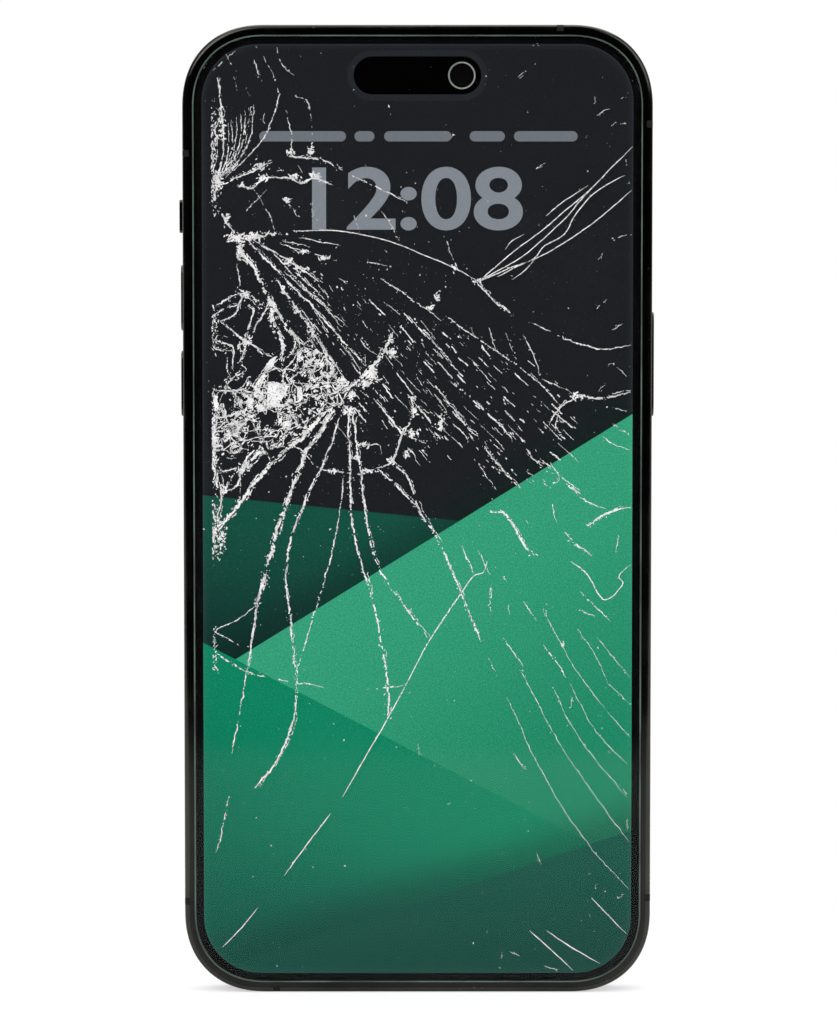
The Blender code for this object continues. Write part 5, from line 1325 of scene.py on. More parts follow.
FINE_ROUTES: tuple[tuple[Point, ...], ...] = (
    ((-28.2, 54.5), (-29.2, 48.5), (-30.8, 40)),
    ((-12.2, 86.5), (-13.4, 77), (-16, 67), (-20.2, 54)),
    ((7.3, 74.8), (9.4, 69.7)),
    ((10, 74), (12.1, 70)),
    ((-25, 90.4), (-24, 88.7), (-20.2, 91.3), (-16.2, 87.7), (-10, 86.6), (-6.6, 87.6)),
    ((-26.8, 64.8), (-30, 62.4), (-33.4, 60.4), (-29.3, 58.2)),
    ((-33.4, 56.8), (-28.3, 53.8), (-22, 52.2), (-15.6, 51.2)),
    ((-8.5, 50.8), (-5, 51), (-1.8, 51.7)),
    ((-22, 120.2), (-16.5, 115.4), (-11.5, 111)),
    ((-24, 123.6), (-20, 119), (-14, 113.6)),
    ((-29.8, 121.5), (-29.4, 119), (-29.5, 117.3)),
    ((-31.5, 106), (-31.3, 104), (-31, 102.6)),
    ((-33.8, 109.8), (-31.4, 109.2)),
    ((-32.4, 86.4), (-32, 84.2)),
    ((-29.3, 85.4), (-29.4, 83.2)),
    ((-30.2, 90.6), (-29, 91), (-27.8, 90.7)),
    ((-30, 92.4), (-28.6, 92.6)),
    ((-31.6, 89.4), (-30, 89.2)),
    ((-19.8, 118.2), (-18, 116.6), (-15, 114), (-12.4, 111)),
    ((-20.6, 120.4), (-17.4, 117.6), (-15, 115.4)),
    ((-6, 119), (-0.5, 115.2), (1.8, 113.8), (4, 112)),
    ((4.6, 112.8), (9.8, 109.2), (15.4, 105.4), (20, 101.9), (23.8, 97.8)),
    ((-0.5, 111.4), (3.6, 107.4), (5.6, 105)),
    ((-26.5, 157.3), (-24, 152.8), (-22.8, 149.3), (-24.2, 144.7), (-26.2, 141), (-31.6, 135.6)),
    ((-23.2, 157), (-22.6, 154.6), (-20.4, 152.3)),
    ((-21.7, 146.7), (-20.7, 142), (-20.9, 139)),
    ((-20.2, 149), (-18, 147.7), (-17.4, 142), (-17.6, 139)),
    ((-27.2, 134), (-24.5, 129.5), (-23.6, 127)),
    ((-28.8, 129.6), (-24.8, 133.6)),
    ((-31.4, 138), (-28.8, 141.4), (-28.2, 144.6)),
    ((-32, 136), (-29.8, 137.8), (-28.4, 140.5)),
    ((18.9, 111.6), (24, 109.3), (28, 107.7), (32, 107.3), (35.2, 108.1)),
    ((-10.4, 129.4), (-9.5, 126.3)),
    ((20.6, 102.4), (23, 101.2), (25.6, 100)),
    ((23.4, 97), (22.7, 93.8), (23.6, 93)),
    ((24.5, 85.2), (28, 82.2), (31.4, 80.8)),
)

CLEAN_ROUTES: tuple[tuple[Point, ...], ...] = (
    (
        (-20.2, 126.8), (-14, 126.9), (-9.5, 126.3), (-4, 124.9), (2.1, 122.4), (6.2, 120.7),
        (10.1, 118.5),
    ),
    (
        (10.1, 118.5), (15.9, 123.5), (20.4, 126.8), (25.4, 131), (29.2, 134.3), (31.5, 136.8),
        (35.5, 140.7),
    ),
    ((10.4, 118.8), (16.5, 122.1), (20.4, 125.2), (24.8, 129.3), (26.5, 131.5), (29.2, 134.3)),
    (
        (13.2, 119.3), (15.9, 120.7), (19.3, 122.4), (20.9, 124.3), (24.2, 126.3), (25.9, 129.3),
        (28.7, 132.7), (32, 134.9), (34.2, 136),
    ),
    ((10.1, 118.5), (14.8, 120.5), (20.4, 122.7), (25.4, 125.7), (29.8, 128.8), (35.3, 133.5)),
    ((14.5, 123.8), (15.6, 125.2), (17.6, 126.3)),
    ((21.2, 129.3), (24.2, 131.8), (28.1, 134.3)),
    ((19.3, 122.1), (17.6, 120.2), (15.6, 118.8)),
    ((25.4, 72.2), (28.1, 70), (30.9, 65.8), (34, 68.3), (33.4, 69.7), (35.3, 71.6)),
    (
        (11.6, 72.2), (10.9, 70.3), (9.3, 69.7), (7.1, 66.7), (2.6, 60), (0.4, 56.1), (-2.9, 49.7),
        (-7, 42.4), (-12.5, 32.8),
    ),
    ((-14.5, 30), (-18, 25.4), (-22.2, 19.6)),
    ((18.7, 10.4), (22, 7.4), (25.9, 3.7)),
    ((21.5, 10.4), (25, 8), (30.4, 4.8)),
    ((29, 15.9), (34.8, 9.8)),
    ((-32.5, 7.6), (-29.2, 11.1), (-26.6, 14.3)),
)

ARC_ROUTES: tuple[tuple[Point, ...], ...] = (
    (
        (17, 54.2), (19.3, 50), (21.5, 45.6), (23.7, 41.7), (26.5, 37.3), (29.2, 33.4),
        (32.6, 28.9), (35.3, 25.3),
    ),
    (
        (14.8, 49.5), (16.5, 46.1), (18.1, 42.2), (20.9, 36.7), (23.1, 32.8), (25.9, 28.4),
        (29.2, 23.9), (32.6, 20.1), (35.3, 17.3),
    ),
    ((22.6, 51.1), (24.8, 46.1), (27, 42.8), (29.2, 39.5), (32, 36.1), (34.8, 32.8)),
    ((25.4, 51.7), (27, 48.4), (29.2, 44.5), (31.5, 41.7), (34.8, 38.4)),
    ((31.5, 47), (35.3, 42.8)),
    ((31.5, 52), (35.3, 48.3)),
    ((29.8, 59.4), (35.3, 52.8)),
    ((20.9, 63.9), (22.6, 60.5), (25.4, 55.6), (27.6, 52.2), (31.5, 47)),
    ((26.5, 61), (29.8, 56.1), (31.5, 52)),
)

MARK_ROUTES: tuple[tuple[Point, ...], ...] = (
    ((14.3, 59.4), (16, 57), (17.6, 54.6)),
    ((17.6, 65.5), (19.8, 62.2)),
    ((20.9, 58.3), (22.6, 56.1), (24.8, 52.8)),
    ((27, 67.2), (29.2, 65), (32, 62.2)),
    ((11.8, 56.1), (13.2, 53.3)),
    ((19.8, 23.4), (20.5, 21.5)),
    ((24, 58.6), (24.1, 58), (24.4, 57.7)),
    ((14.5, 152.3), (14.9, 151.9)),
    ((16.6, 152.1), (17.6, 153)),
    ((18.9, 157.6), (19.3, 157.1)),
    ((19.7, 157.5), (19.9, 157.9)),
    ((31.8, 151.7), (32.3, 152.1)),
    ((33.5, 148.6), (33.9, 148.8)),
    ((29.5, 145.9), (30.6, 146.5), (31.7, 146.8)),
    ((31.8, 144.1), (32.6, 144.7)),
    ((33.7, 144.4), (34.2, 144.7)),
    ((5.4, 142.2), (5.8, 142.9)),
    ((19.5, 137), (20.9, 138)),
    ((34, 139), (34.8, 137.4)),
    ((34.4, 134.6), (35, 134.8)),
    ((29.2, 149), (29.3, 147.7)),
    ((29.8, 122.1), (30.6, 122.9)),
    ((15.4, 6.9), (17, 6.1)),
    ((14, 6.8), (13.8, 4)),
    ((21.2, 4.5), (23.4, 3.7)),
    ((11.6, 10.4), (11.5, 9.8)),
    ((29.4, 10.2), (29.6, 10.5)),
    ((28.7, 12.7), (28.8, 13.1)),
    ((29.6, 17.5), (29.8, 18.1)),
    ((28.4, 19.8), (28.8, 20)),
    ((33.4, 15.8), (34.4, 16.5)),
    ((5, 31.5), (5.5, 31.8)),
    ((0.1, 41.7), (0.3, 39.8)),
    ((12, 67.2), (12, 63.9)),
    ((14.2, 69.7), (14.7, 68.9)),
    ((15.1, 65), (15.3, 63.3)),
    ((27, 63.9), (29.4, 63)),
    ((21.5, 65), (21.3, 63)),
    ((25.6, 49.5), (25.5, 47.8)),
    ((30.5, 46.4), (30.7, 45)),
    ((31.7, 40.6), (32, 38.9)),
    ((15.9, 40.1), (18.1, 37.3)),
    ((34.8, 28.9), (34.9, 27.3)),
    ((34.2, 34.2), (35, 33.1)),
    ((-31.5, 155.9), (-30.9, 154.2)),
    ((-30.2, 152.2), (-29.7, 149.9)),
    ((-28.2, 150.4), (-27.7, 149.2)),
    ((-26.9, 154.9), (-26.3, 153), (-25.6, 151.4)),
    ((-27.4, 147.3), (-27.4, 146)),
    ((-25.2, 146.2), (-25.3, 144.6)),
    ((-33.6, 153.2), (-30, 156.4)),
    ((-33.2, 147.5), (-32.6, 145.6), (-33.4, 143.5), (-33, 141), (-33.3, 138)),
    ((-22, 132), (-21, 131), (-19.7, 129.2)),
    ((-17.3, 131.5), (-17.3, 129.5), (-16.2, 128.6)),
    ((-19.7, 137.7), (-19, 136.3)),
    ((-23.2, 136.7), (-21.5, 136.8), (-20, 136.2)),
    ((-10.8, 135.9), (-7, 134.2), (-1.6, 131.6)),
    ((-5.9, 130), (-4.2, 127.5), (-2.8, 124.5)),
    ((-22.2, 125.2), (-17.7, 124.2)),
    ((-22.6, 124.8), (-18, 123)),
    ((-19.5, 125.8), (-12.6, 124.4)),
    ((-17, 123), (-13.4, 121.8)),
    ((-8.3, 121.6), (-5, 121)),
    ((-13, 119), (-11.6, 118.2)),
    ((-5.5, 115.2), (-2.6, 112.9)),
    ((-2, 108.9), (0.3, 106.6)),
    ((-6.5, 107.6), (-5, 107), (-4, 106.3), (-3.2, 105.9)),
    ((-8.7, 106.5), (-8.6, 104.5)),
    ((-11, 105.2), (-9, 102.5)),
    ((-9.5, 109), (-8.7, 107.9), (-6.7, 106.4)),
    ((1.4, 101), (2.6, 99.5)),
    ((3.4, 98.1), (5, 96.3), (7.5, 93.4), (8.5, 92)),
    ((1.8, 94.3), (3.2, 92.3)),
    ((3.2, 96.2), (4.6, 96.5), (3.8, 94.6), (4.4, 94), (3.2, 92.5)),
    ((-9, 91.4), (-6.4, 91.6), (-5.9, 90)),
    ((-2.4, 89.7), (-1.2, 90.6), (0.5, 88)),
    ((16.4, 151.5), (17.4, 152.4)),
    ((29.2, 145.3), (30.2, 145.9)),
    ((20, 137.2), (20.6, 137.5)),
    ((4.2, 126), (5, 124.4), (6, 122)),
    ((32.1, 125.5), (35, 126.4)),
    ((8.9, 110.9), (9.6, 109.3)),
    ((11.9, 110.9), (13, 107)),
    ((14.5, 110), (16, 107)),
    ((17.4, 109.6), (19.4, 106), (20.2, 103)),
    ((29.2, 113.7), (31.2, 115.6)),
    ((32.2, 110.5), (33.8, 111.6)),
    ((31.5, 104.8), (32.6, 105.1)),
    ((33, 104.4), (34.6, 102.9)),
    ((31, 101.4), (30, 100.2)),
    ((32, 97.8), (35, 97)),
    ((32.2, 95), (35.2, 93)),
    ((30.7, 92.8), (32, 91.8), (35.2, 90.8)),
    ((18.8, 98.4), (20.2, 96.8)),
    ((15, 96.8), (17, 94.2)),
    ((10, 88.3), (13, 84)),
    ((22, 88.6), (23.4, 86), (22.4, 84.8)),
    ((18, 87.2), (19.2, 86.3)),
    ((12.2, 68), (12.2, 63.2)),
    ((18, 79), (19, 77.6)),
    ((22.3, 81.6), (22.8, 79.6), (23.1, 78.5)),
    ((26.8, 64.1), (29.5, 63)),
    ((33.4, 76.5), (33, 73.6)),
    ((-31.4, 32.8), (-32.4, 28), (-33.5, 23.5)),
)

# Edge of the place where the glass is crushed
CRUSHED: tuple[Point, ...] = (
    (-33.6, 100.5), (-31, 102.4), (-28.8, 103.2), (-26.6, 102.8), (-24.2, 105.6), (-21.4, 106.2),
    (-18.6, 108),
    (-16.4, 109), (-14.6, 105.4), (-12.2, 103.2), (-10.6, 99.6), (-12.8, 97.6), (-16, 95.6),
    (-19.4, 92.4),
    (-23.6, 90.8), (-27.8, 90), (-31.4, 88.4), (-33.4, 87.2), (-33.9, 92),
)

# Heaps of grit in it, as middle, spread and lean in degrees, and the cells that stay clear
CORES: tuple[tuple[float, float, float, float], ...] = (
    (-18.4, 102.6, 2.6, 50), (-16, 99.6, 2.4, 40), (-14.6, 103.4, 1.7, -50), (-22.4, 100.2, 1.9, 10),
    (-27.6, 99.6, 1.9, 80), (-29.4, 95.4, 2.3, 35), (-24, 92.6, 2.6, 30), (-20.2, 95.2, 2.2, 45),
    (-31.6, 92.2, 1.7, 20), (-18.4, 106.2, 1.7, 40), (-26.6, 98, 1.4, 80),
)
CELLS: tuple[tuple[float, float, float, float], ...] = (
    (-24.8, 96, 2.0, 1.3), (-32, 98.4, 1.1, 1.1), (-24.2, 102.6, 0.5, 1.4), (-17.9, 98.2, 0.9, 0.7),
    (-30.2, 101.8, 0.9, 0.6),
)
PATCHES: tuple[tuple[Point, ...], ...] = (
    ((-24.8, 101.9), (-23.6, 102), (-21.2, 101.2), (-22.2, 99.4), (-23, 98.2), (-24.9, 97.9)),
    ((-23.3, 106.2), (-24.4, 105.6), (-25.3, 104.2), (-24.8, 103.8), (-23.8, 104.6)),
    ((-25.3, 103.6), (-26.8, 101.6), (-27, 100.2), (-26.2, 100.6), (-25, 102.8)),
    ((-22.1, 95.4), (-20.9, 95.6), (-21, 94), (-22.4, 94.5)),
    ((-19.9, 101), (-19.2, 100.8), (-18.9, 98.8), (-19.9, 98.8)),
    ((-33.9, 99.8), (-33, 99.6), (-33, 97.4), (-33.5, 97)),
)

# Heaps of crumbs where cracks meet, as middle, spread across and up, and count
CLUSTERS: tuple[tuple[float, float, float, float, int], ...] = (
    (-30.1, 125.7, 1.2, 0.6, 60), (-27.6, 126, 1.3, 0.5, 50), (-23.4, 126.3, 1.4, 0.3, 26),
    (-29.3, 123.6, 0.5, 1.3, 46),
    (-32.9, 134.9, 0.6, 1.1, 60), (-31.5, 128.8, 0.4, 0.9, 20), (-32.2, 143.2, 0.4, 1.6, 36),
    (-32.4, 146, 0.3, 1.2, 16),
    (-26.2, 137.5, 0.9, 0.6, 32), (-25.6, 135.7, 0.7, 0.5, 24), (-20.1, 135.8, 0.9, 0.4, 26),
    (-16.9, 136, 0.9, 0.4, 26),
    (-21.5, 131.8, 0.6, 0.5, 22), (-20.9, 139.8, 0.6, 0.5, 22), (-17.6, 140, 0.5, 0.8, 26),
    (-29, 134.2, 0.6, 0.3, 14),
    (-7.4, 103, 0.9, 1.0, 90), (-8.6, 101.6, 0.9, 0.5, 50), (-4.3, 106.8, 0.7, 0.6, 56),
    (-4.4, 108.9, 0.4, 0.7, 26),
    (-10.9, 99.7, 0.8, 0.5, 50), (-11.4, 97.2, 1.2, 0.8, 60), (-12.6, 101.6, 0.9, 0.8, 50),
    (-0.8, 99.3, 0.4, 0.4, 18),
    (-0.4, 97, 0.4, 0.6, 26), (-0.8, 93.5, 0.9, 0.6, 34), (3.9, 94.7, 0.5, 1.0, 24),
    (2.2, 114.1, 0.6, 0.3, 20),
    (3.2, 116, 0.4, 0.9, 26), (-4.3, 88.8, 0.6, 0.5, 26), (-1.8, 90, 0.6, 0.4, 18),
    (-9, 91.5, 0.8, 0.3, 18),
    (-10, 89.3, 0.6, 0.5, 24), (-8, 87.2, 1.1, 0.3, 26), (-14, 87.2, 0.9, 0.3, 18),
    (9.8, 118.6, 0.6, 0.4, 20),
    (6.2, 120.8, 0.4, 0.6, 16), (26.4, 99.5, 1.0, 0.4, 20), (-28.3, 116.4, 0.5, 0.4, 26),
    (-28.4, 108.6, 0.8, 0.7, 46),
    (-24.2, 115, 0.5, 0.6, 24), (-17.4, 110.6, 0.6, 1.0, 34), (-19.9, 113.8, 0.5, 0.6, 22),
    (-22.2, 117, 0.3, 0.6, 18),
    (-15.4, 122.4, 0.7, 0.3, 24), (-18.9, 123.4, 0.8, 0.25, 20), (-19, 120.4, 1.2, 0.5, 26),
    (-21.3, 121.8, 0.9, 0.5, 26),
    (-24, 112.8, 0.5, 1.3, 36), (-32, 84.2, 0.5, 0.7, 24), (-32.6, 76.4, 0.7, 2.4, 70),
    (-28.6, 88, 1.0, 1.0, 46),
    (24.1, 58.3, 0.22, 0.38, 10),
)

# Frayed stretches of the left edge, as lower end, upper end and count
FRINGES: tuple[tuple[float, float, int], ...] = (
    (83, 101.5, 360),
    (71, 84, 150),
    (106, 115, 70),
    (129, 149, 190),
    (52, 62, 40),
)


@dataclass
class Splinters:
    """Collects the bodies of cracks and chips that lie in the glass and share one finish."""

    name: str
    face: float
    depth: float = 0.3 * MM
    proud: float = 0.006 * MM
    places: list[Vector] = field(default_factory=list)
    faces: list[tuple[int, ...]] = field(default_factory=list)

    def wedge(self, path: Sequence[Vector], reaches: Sequence[Point]) -> None:
        """Adds a V-shaped fracture, flat at the face of the glass and sharp inside it.

        Args:
            path: Its middle line, across and up, in metres.
            reaches: How far it spreads to each side at each point.
        """
        start = len(self.places)
        for index, point in enumerate(path):
            before, after = path[max(index - 1, 0)], path[min(index + 1, len(path) - 1)]
            along = after - before
            across = along.normalized().orthogonal() if along.length > 1e-9 else Vector((1.0, 0.0))
            one, other = reaches[index]
            deep = self.face + self.depth * min(1.0, 0.35 + (one + other) / (0.5 * MM))
            near = self.face - self.proud
            edges = (point + across * one, point - across * other)
            for spot, level in ((edges[0], near), (point, deep), (edges[1], near)):
                self.places.append(Vector((spot.x, level, spot.y)))
        for index in range(len(path) - 1):
            near, far = start + 3 * index, start + 3 * index + 3
            for i in range(3):
                j = (i + 1) % 3
                self.faces.append((near + i, near + j, far + j, far + i))
        last = start + 3 * (len(path) - 1)
        self.faces.append((start + 2, start + 1, start))
        self.faces.append((last, last + 1, last + 2))

    def chip(self, outline: Sequence[Vector], depth: float) -> None:
        """Adds a chip, flat at the face of the glass and pointed inside it.

        Args:
            outline: Its corners, across and up, in metres.
            depth: How deep its point lies.
        """
        start = len(self.places)
        middle = sum(outline, Vector((0.0, 0.0))) / len(outline)
        near = self.face - self.proud - start % 11 * 0.0008 * MM
        for spot in outline:
            self.places.append(Vector((spot.x, near, spot.y)))
        self.places.append(Vector((middle.x, self.face + depth, middle.y)))
        count = len(outline)
        self.faces.append(tuple(range(start, start + count)))
        for i in range(count):
            self.faces.append((start + (i + 1) % count, start + i, start + count))

    def build(self) -> bpy.types.Object:
        """Makes one mesh of all that was added, with its faces outwards."""
        data = bpy.data.meshes.new(self.name)
        data.from_pydata(self.places, [], self.faces)
        piece = bpy.data.objects.new(self.name, data)
        bpy.context.scene.collection.objects.link(piece)
        with editing(piece) as _:
            bpy.ops.mesh.select_all(action="SELECT")
            bpy.ops.mesh.normals_make_consistent(inside=False)
        return piece


@dataclass
class ShatteredGlass:
    """The clear pane and every crack, chip and splinter in it."""

    body: Body
    seed: int = 11
    edge: float = 0.22 * MM
    inset: float = 1.9 * MM
    step: float = 0.26
    grit_count: int = 2500
    web_count: int = 260
    dash_count: int = 330
    speck_count: int = 1100
    chance: random.Random = field(init=False)

    def __post_init__(self) -> None:
        """Starts the one source of chance and the layers."""
        self.chance = random.Random(self.seed)
        face = self.body.glass_low.y
        self.bright = Splinters("cracks_bright", face)
        self.fine = Splinters("cracks_fine", face, depth=0.2 * MM)
        self.web = Splinters("cracks_web", face, depth=0.22 * MM)
        self.crumbs = Splinters("crack_crumbs", face)
        self.grit = Splinters("crushed_grit", face)

    def build(self) -> None:
        """Makes the pane and its damage."""
        self.pane()
        for route in WIDE_ROUTES:
            self.ragged(self.bright, route, Weight.WIDE)
            self.strand(route, Weight.FINE, 0.42)
            self.strand(route, Weight.FINE, -0.4)
            self.scatter(route, 1.1, 0.36)
        for route in FIRM_ROUTES:
            self.ragged(self.bright, route, Weight.FIRM)
            self.strand(route, Weight.HAIR, 0.26)
            self.scatter(route, 0.55, 0.22)
        for route in CLEAN_ROUTES:
            self.ragged(self.bright, route, Weight.CLEAN, 0.3)
            self.scatter(route, 0.05, 0.1)
        for route in ARC_ROUTES:
            self.ragged(self.bright, route, Weight.THREAD, 0.75)
            self.scatter(route, 0.12, 0.1)
        for route in FINE_ROUTES + self.fan():
            self.ragged(self.fine, route, Weight.FINE)
            self.scatter(route, 0.16, 0.13)
        for route in MARK_ROUTES:
            self.ragged(self.bright, route, Weight.MARK)
            self.scatter(route, 0.3, 0.14)
        self.crush()
        self.clusters()
        self.fringe()
        self.parallel_dashes()
        self.specks()
        layers = (
            (self.bright, Fracture("bright_fracture", cover=(0.39, 0.45))),
            (self.fine, Fracture("fine_fracture", cover=(0.42, 0.5))),
            (self.web, Fracture("web_fracture", cover=(0.4, 0.5))),
            (self.crumbs, Fracture("crumb_fracture")),
            (self.grit, Fracture("grit_fracture", grain=2400.0)),
        )
        for layer, finish in layers:
            self.body.dress(layer.build(), Slot.GLASS, material=finish.make())

    def pane(self) -> None:
        """Makes the clear pane with its rounded edge."""
        low, high = self.body.glass_low.y, self.body.glass_high.y
        pane = self.body.shell("cover_pane", self.inset, low, high, 24)
        soften(pane, Axis.Y, low, self.edge, 4)
        polish(pane)
        self.body.dress(pane, Slot.GLASS, nodes=["front_glass"])

    def fan(self) -> tuple[tuple[Point, ...], ...]:
        """Thin arcs that sweep up from the node at the left edge."""
        return tuple(
            (
                (-33.0 + 0.3 * index, 135.4 + 0.15 * index),
                (-31.7 + 0.5 * index, 138.0 + 0.25 * index),
                (-31.1 + 0.62 * index, 141.0 + 0.35 * index),
                (-31.2 + 0.7 * index, 144.6 + 0.5 * index),
            )
            for index in range(7)
        )

    def curve(self, route: Sequence[Point], wander: float) -> list[Vector]:
        """Close-set points on a smooth curve through a route, each a little off it.

        Args:
            route: Its points in millimetres.
            wander: How far a point may stray, in millimetres.

        Returns:
            Points in metres.
        """
        spots = [Vector(point) for point in route]
        ends = [2 * spots[0] - spots[1], *spots, 2 * spots[-1] - spots[-2]]
        path: list[Vector] = []
        for before, start, end, after in zip(ends, ends[1:], ends[2:], ends[3:]):
            pieces = max(2, round((end - start).length / self.step))
            for index in range(pieces):
                t = index / pieces
                spot = 2 * start + (end - before) * t
                spot += (2 * before - 5 * start + 4 * end - after) * t**2
                spot += (3 * start - before - 3 * end + after) * t**3
                path.append(spot / 2)
        path.append(spots[-1])
        drift = 0.0
        result = []
        for index, spot in enumerate(path):
            along = path[min(index + 1, len(path) - 1)] - path[max(index - 1, 0)]
            drift = 0.78 * drift + self.chance.gauss(0, wander * 0.5)
            across = along.normalized().orthogonal()
            result.append((spot + across * drift) * MM)
        return result

    def ragged(self, layer: Splinters, route: Sequence[Point], weight: Weight, tear: float = 1.0) -> None:
        """Adds a crack with torn edges and uneven width, and with short breaks where it is torn most.

        Args:
            layer: Where it goes.
            route: Its points in millimetres.
            weight: How strongly it shows.
            tear: How torn it is, from 0 to 1.
        """
        path = self.curve(route, 0.1 * tear)
        half = weight.value * MM / 2
        piece: list[Vector] = []
        reaches: list[Point] = []
        flow, skip = 0.8, 0
        for index, spot in enumerate(path):
            if skip:
                skip -= 1
                continue
            flow = 0.8 * flow + 0.2 * (0.9 + tear * self.chance.uniform(-0.85, 0.85))
            taper = min(1.0, 0.35 + index * 0.12, 0.25 + (len(path) - 1 - index) * 0.07)
            piece.append(spot)
            torn = [half * flow * taper * (1 + tear * self.chance.uniform(-0.65, 0.5)) for _ in range(2)]
            reaches.append((torn[0], torn[1]))
            if tear * self.chance.uniform(0.7, 1.6) > 1.9 * flow:
                if len(piece) > 1:
                    layer.wedge(piece, reaches)
                piece, reaches = [], []
                skip = self.chance.randint(0, 2)
        if len(piece) > 1:
            layer.wedge(piece, reaches)

    def strand(self, route: Sequence[Point], weight: Weight, offset: float) -> None:
        """Adds a broken thin line beside a crack.

        Args:
            route: The crack's points in millimetres.
            weight: How strongly the line shows.
            offset: How far beside the crack it runs, in millimetres.
        """
        path = self.curve(route, 0.16)
        index = 0
        while index < len(path) - 3:
            count = self.chance.randint(3, 9)
            run = path[index : index + count]
            if len(run) > 1 and self.chance.random() < 0.62:
                across = (run[-1] - run[0]).normalized().orthogonal()
                across = across * offset * MM * self.chance.uniform(0.4, 1.3)
                self.fine.wedge([spot + across for spot in run], self.thin(len(run), weight.value))
            index += count

    def thin(self, count: int, width: float) -> list[Point]:
        """Uneven reaches to both sides for a thin line.

        Args:
            count: How many points the line has.
            width: Its width in millimetres.

        Returns:
            A pair for each point, in metres.
        """
        half = width * MM / 2
        share = self.chance.uniform
        return [(half * share(0.3, 1.4), half * share(0.3, 1.4)) for _ in range(count)]

    def shard(
        self, middle: Vector, size: float, lean: float | None = None, stretch: float = 1.0
    ) -> list[Vector]:
        """Uneven corners round a point.

        Args:
            middle: The point, in metres.
            size: Its radius in millimetres.
            lean: Direction of its long axis, by chance if left out.
            stretch: How much longer than wide.

        Returns:
            The corners in metres.
        """
        sides = self.chance.randint(3, 5)
        start = self.chance.uniform(0, math.tau)
        turn = self.chance.uniform(0, math.tau) if lean is None else lean
        along = Vector((math.cos(turn), math.sin(turn)))
        corners = []
        for index in range(sides):
            angle = start + math.tau * (index + self.chance.uniform(-0.25, 0.25)) / sides
            reach = size * MM * self.chance.uniform(0.5, 1.25)
            spot = along * math.cos(angle) * stretch + Vector((-along.y, along.x)) * math.sin(angle)
            corners.append(middle + spot * reach)
        return corners

    def scatter(self, route: Sequence[Point], rate: float, spread: float) -> None:
        """Adds crumbs of glass along a crack.

        Args:
            route: The crack's points in millimetres.
            rate: Crumbs for each step of the crack.
            spread: How far they stray to the sides, in millimetres.
        """
        for spot in self.curve(route, 0.1):
            for _ in range(int(rate + self.chance.random())):
                stray = Vector((self.chance.gauss(0, spread), self.chance.gauss(0, spread))) * MM
                size = self.chance.uniform(0.03, 0.12) * (0.7 + spread)
                corners = self.shard(spot + stray, size, stretch=self.chance.uniform(1.2, 3))
                self.crumbs.chip(corners, 0.08 * MM)

    def crush(self) -> None:
        """Fills the crushed place with grit and a web of splinters, and leaves its cells clear."""
        placed = 0
        while placed < self.grit_count:
            x, z, reach, lean = CORES[self.chance.randrange(len(CORES))]
            spot = Vector((x + self.chance.gauss(0, reach), z + self.chance.gauss(0, reach * 0.75)))
            if not inside(spot, CRUSHED) or any(cell_share(spot, cell) < 1 for cell in CELLS):
                continue
            if noise.noise(Vector((spot.x * 1.1, spot.y * 1.1, 3.0))) < 0.06:
                continue
            size = min(0.32, 0.035 + 0.045 * self.chance.expovariate(1.0))
            turn = math.radians(lean + self.chance.gauss(0, 28))
            corners = self.shard(spot * MM, size, turn, self.chance.uniform(1.2, 3.2))
            self.grit.chip(corners, 0.1 * MM)
            placed += 1
        spots: list[Vector] = []
        while len(spots) < self.web_count:
            x, z, reach, _ = CORES[self.chance.randrange(len(CORES))]
            spot = Vector((x + self.chance.gauss(0, reach * 1.2), z + self.chance.gauss(0, reach)))
            if inside(spot, CRUSHED):
                spots.append(spot)
        places, edges = delaunay_2d_cdt(spots, [], [], 0, 1e-5)[:2]
        for start, end in edges:
            a, b = places[start], places[end]
            middle = (a + b) / 2
            clear = any(cell_share(middle, cell) < 0.9 for cell in CELLS)
            if (b - a).length > 3.6 or self.chance.random() < 0.42 or clear or not inside(middle, CRUSHED):
                continue
            count = max(2, round((b - a).length / 0.35))
            path = []
            for index in range(count + 1):
                shake = Vector((self.chance.gauss(0, 0.07), self.chance.gauss(0, 0.07)))
                path.append((a.lerp(b, index / count) + shake) * MM)
            self.web.wedge(path, self.thin(len(path), 0.14 * self.chance.uniform(0.5, 1.8)))
        for patch in PATCHES:
            self.bright.chip([Vector(point) * MM for point in patch], 0.12 * MM)

    def clusters(self) -> None:
        """Heaps crumbs where cracks meet."""
        for x, z, wide, high, count in CLUSTERS:
            for _ in range(count):
                stray = Vector((self.chance.gauss(0, wide * 0.6), self.chance.gauss(0, high * 0.6)))
                spot = (Vector((x, z)) + stray) * MM
                size = self.chance.uniform(0.05, 0.19)
                self.grit.chip(self.shard(spot, size, stretch=self.chance.uniform(1.4, 3.2)), 0.1 * MM)

    def fringe(self) -> None:
        """Frays the left edge of the shattered side."""
        for low, high, count in FRINGES:
            for _ in range(count):
                z = self.chance.triangular(low, high)
                x = -33.95 + abs(self.chance.gauss(0, 0.45))
                lean = math.radians(90 + self.chance.gauss(0, 25))
                size = self.chance.uniform(0.03, 0.13)
                corners = self.shard(Vector((x, z)) * MM, size, lean, self.chance.uniform(1.5, 4))
                self.crumbs.chip(corners, 0.06 * MM)

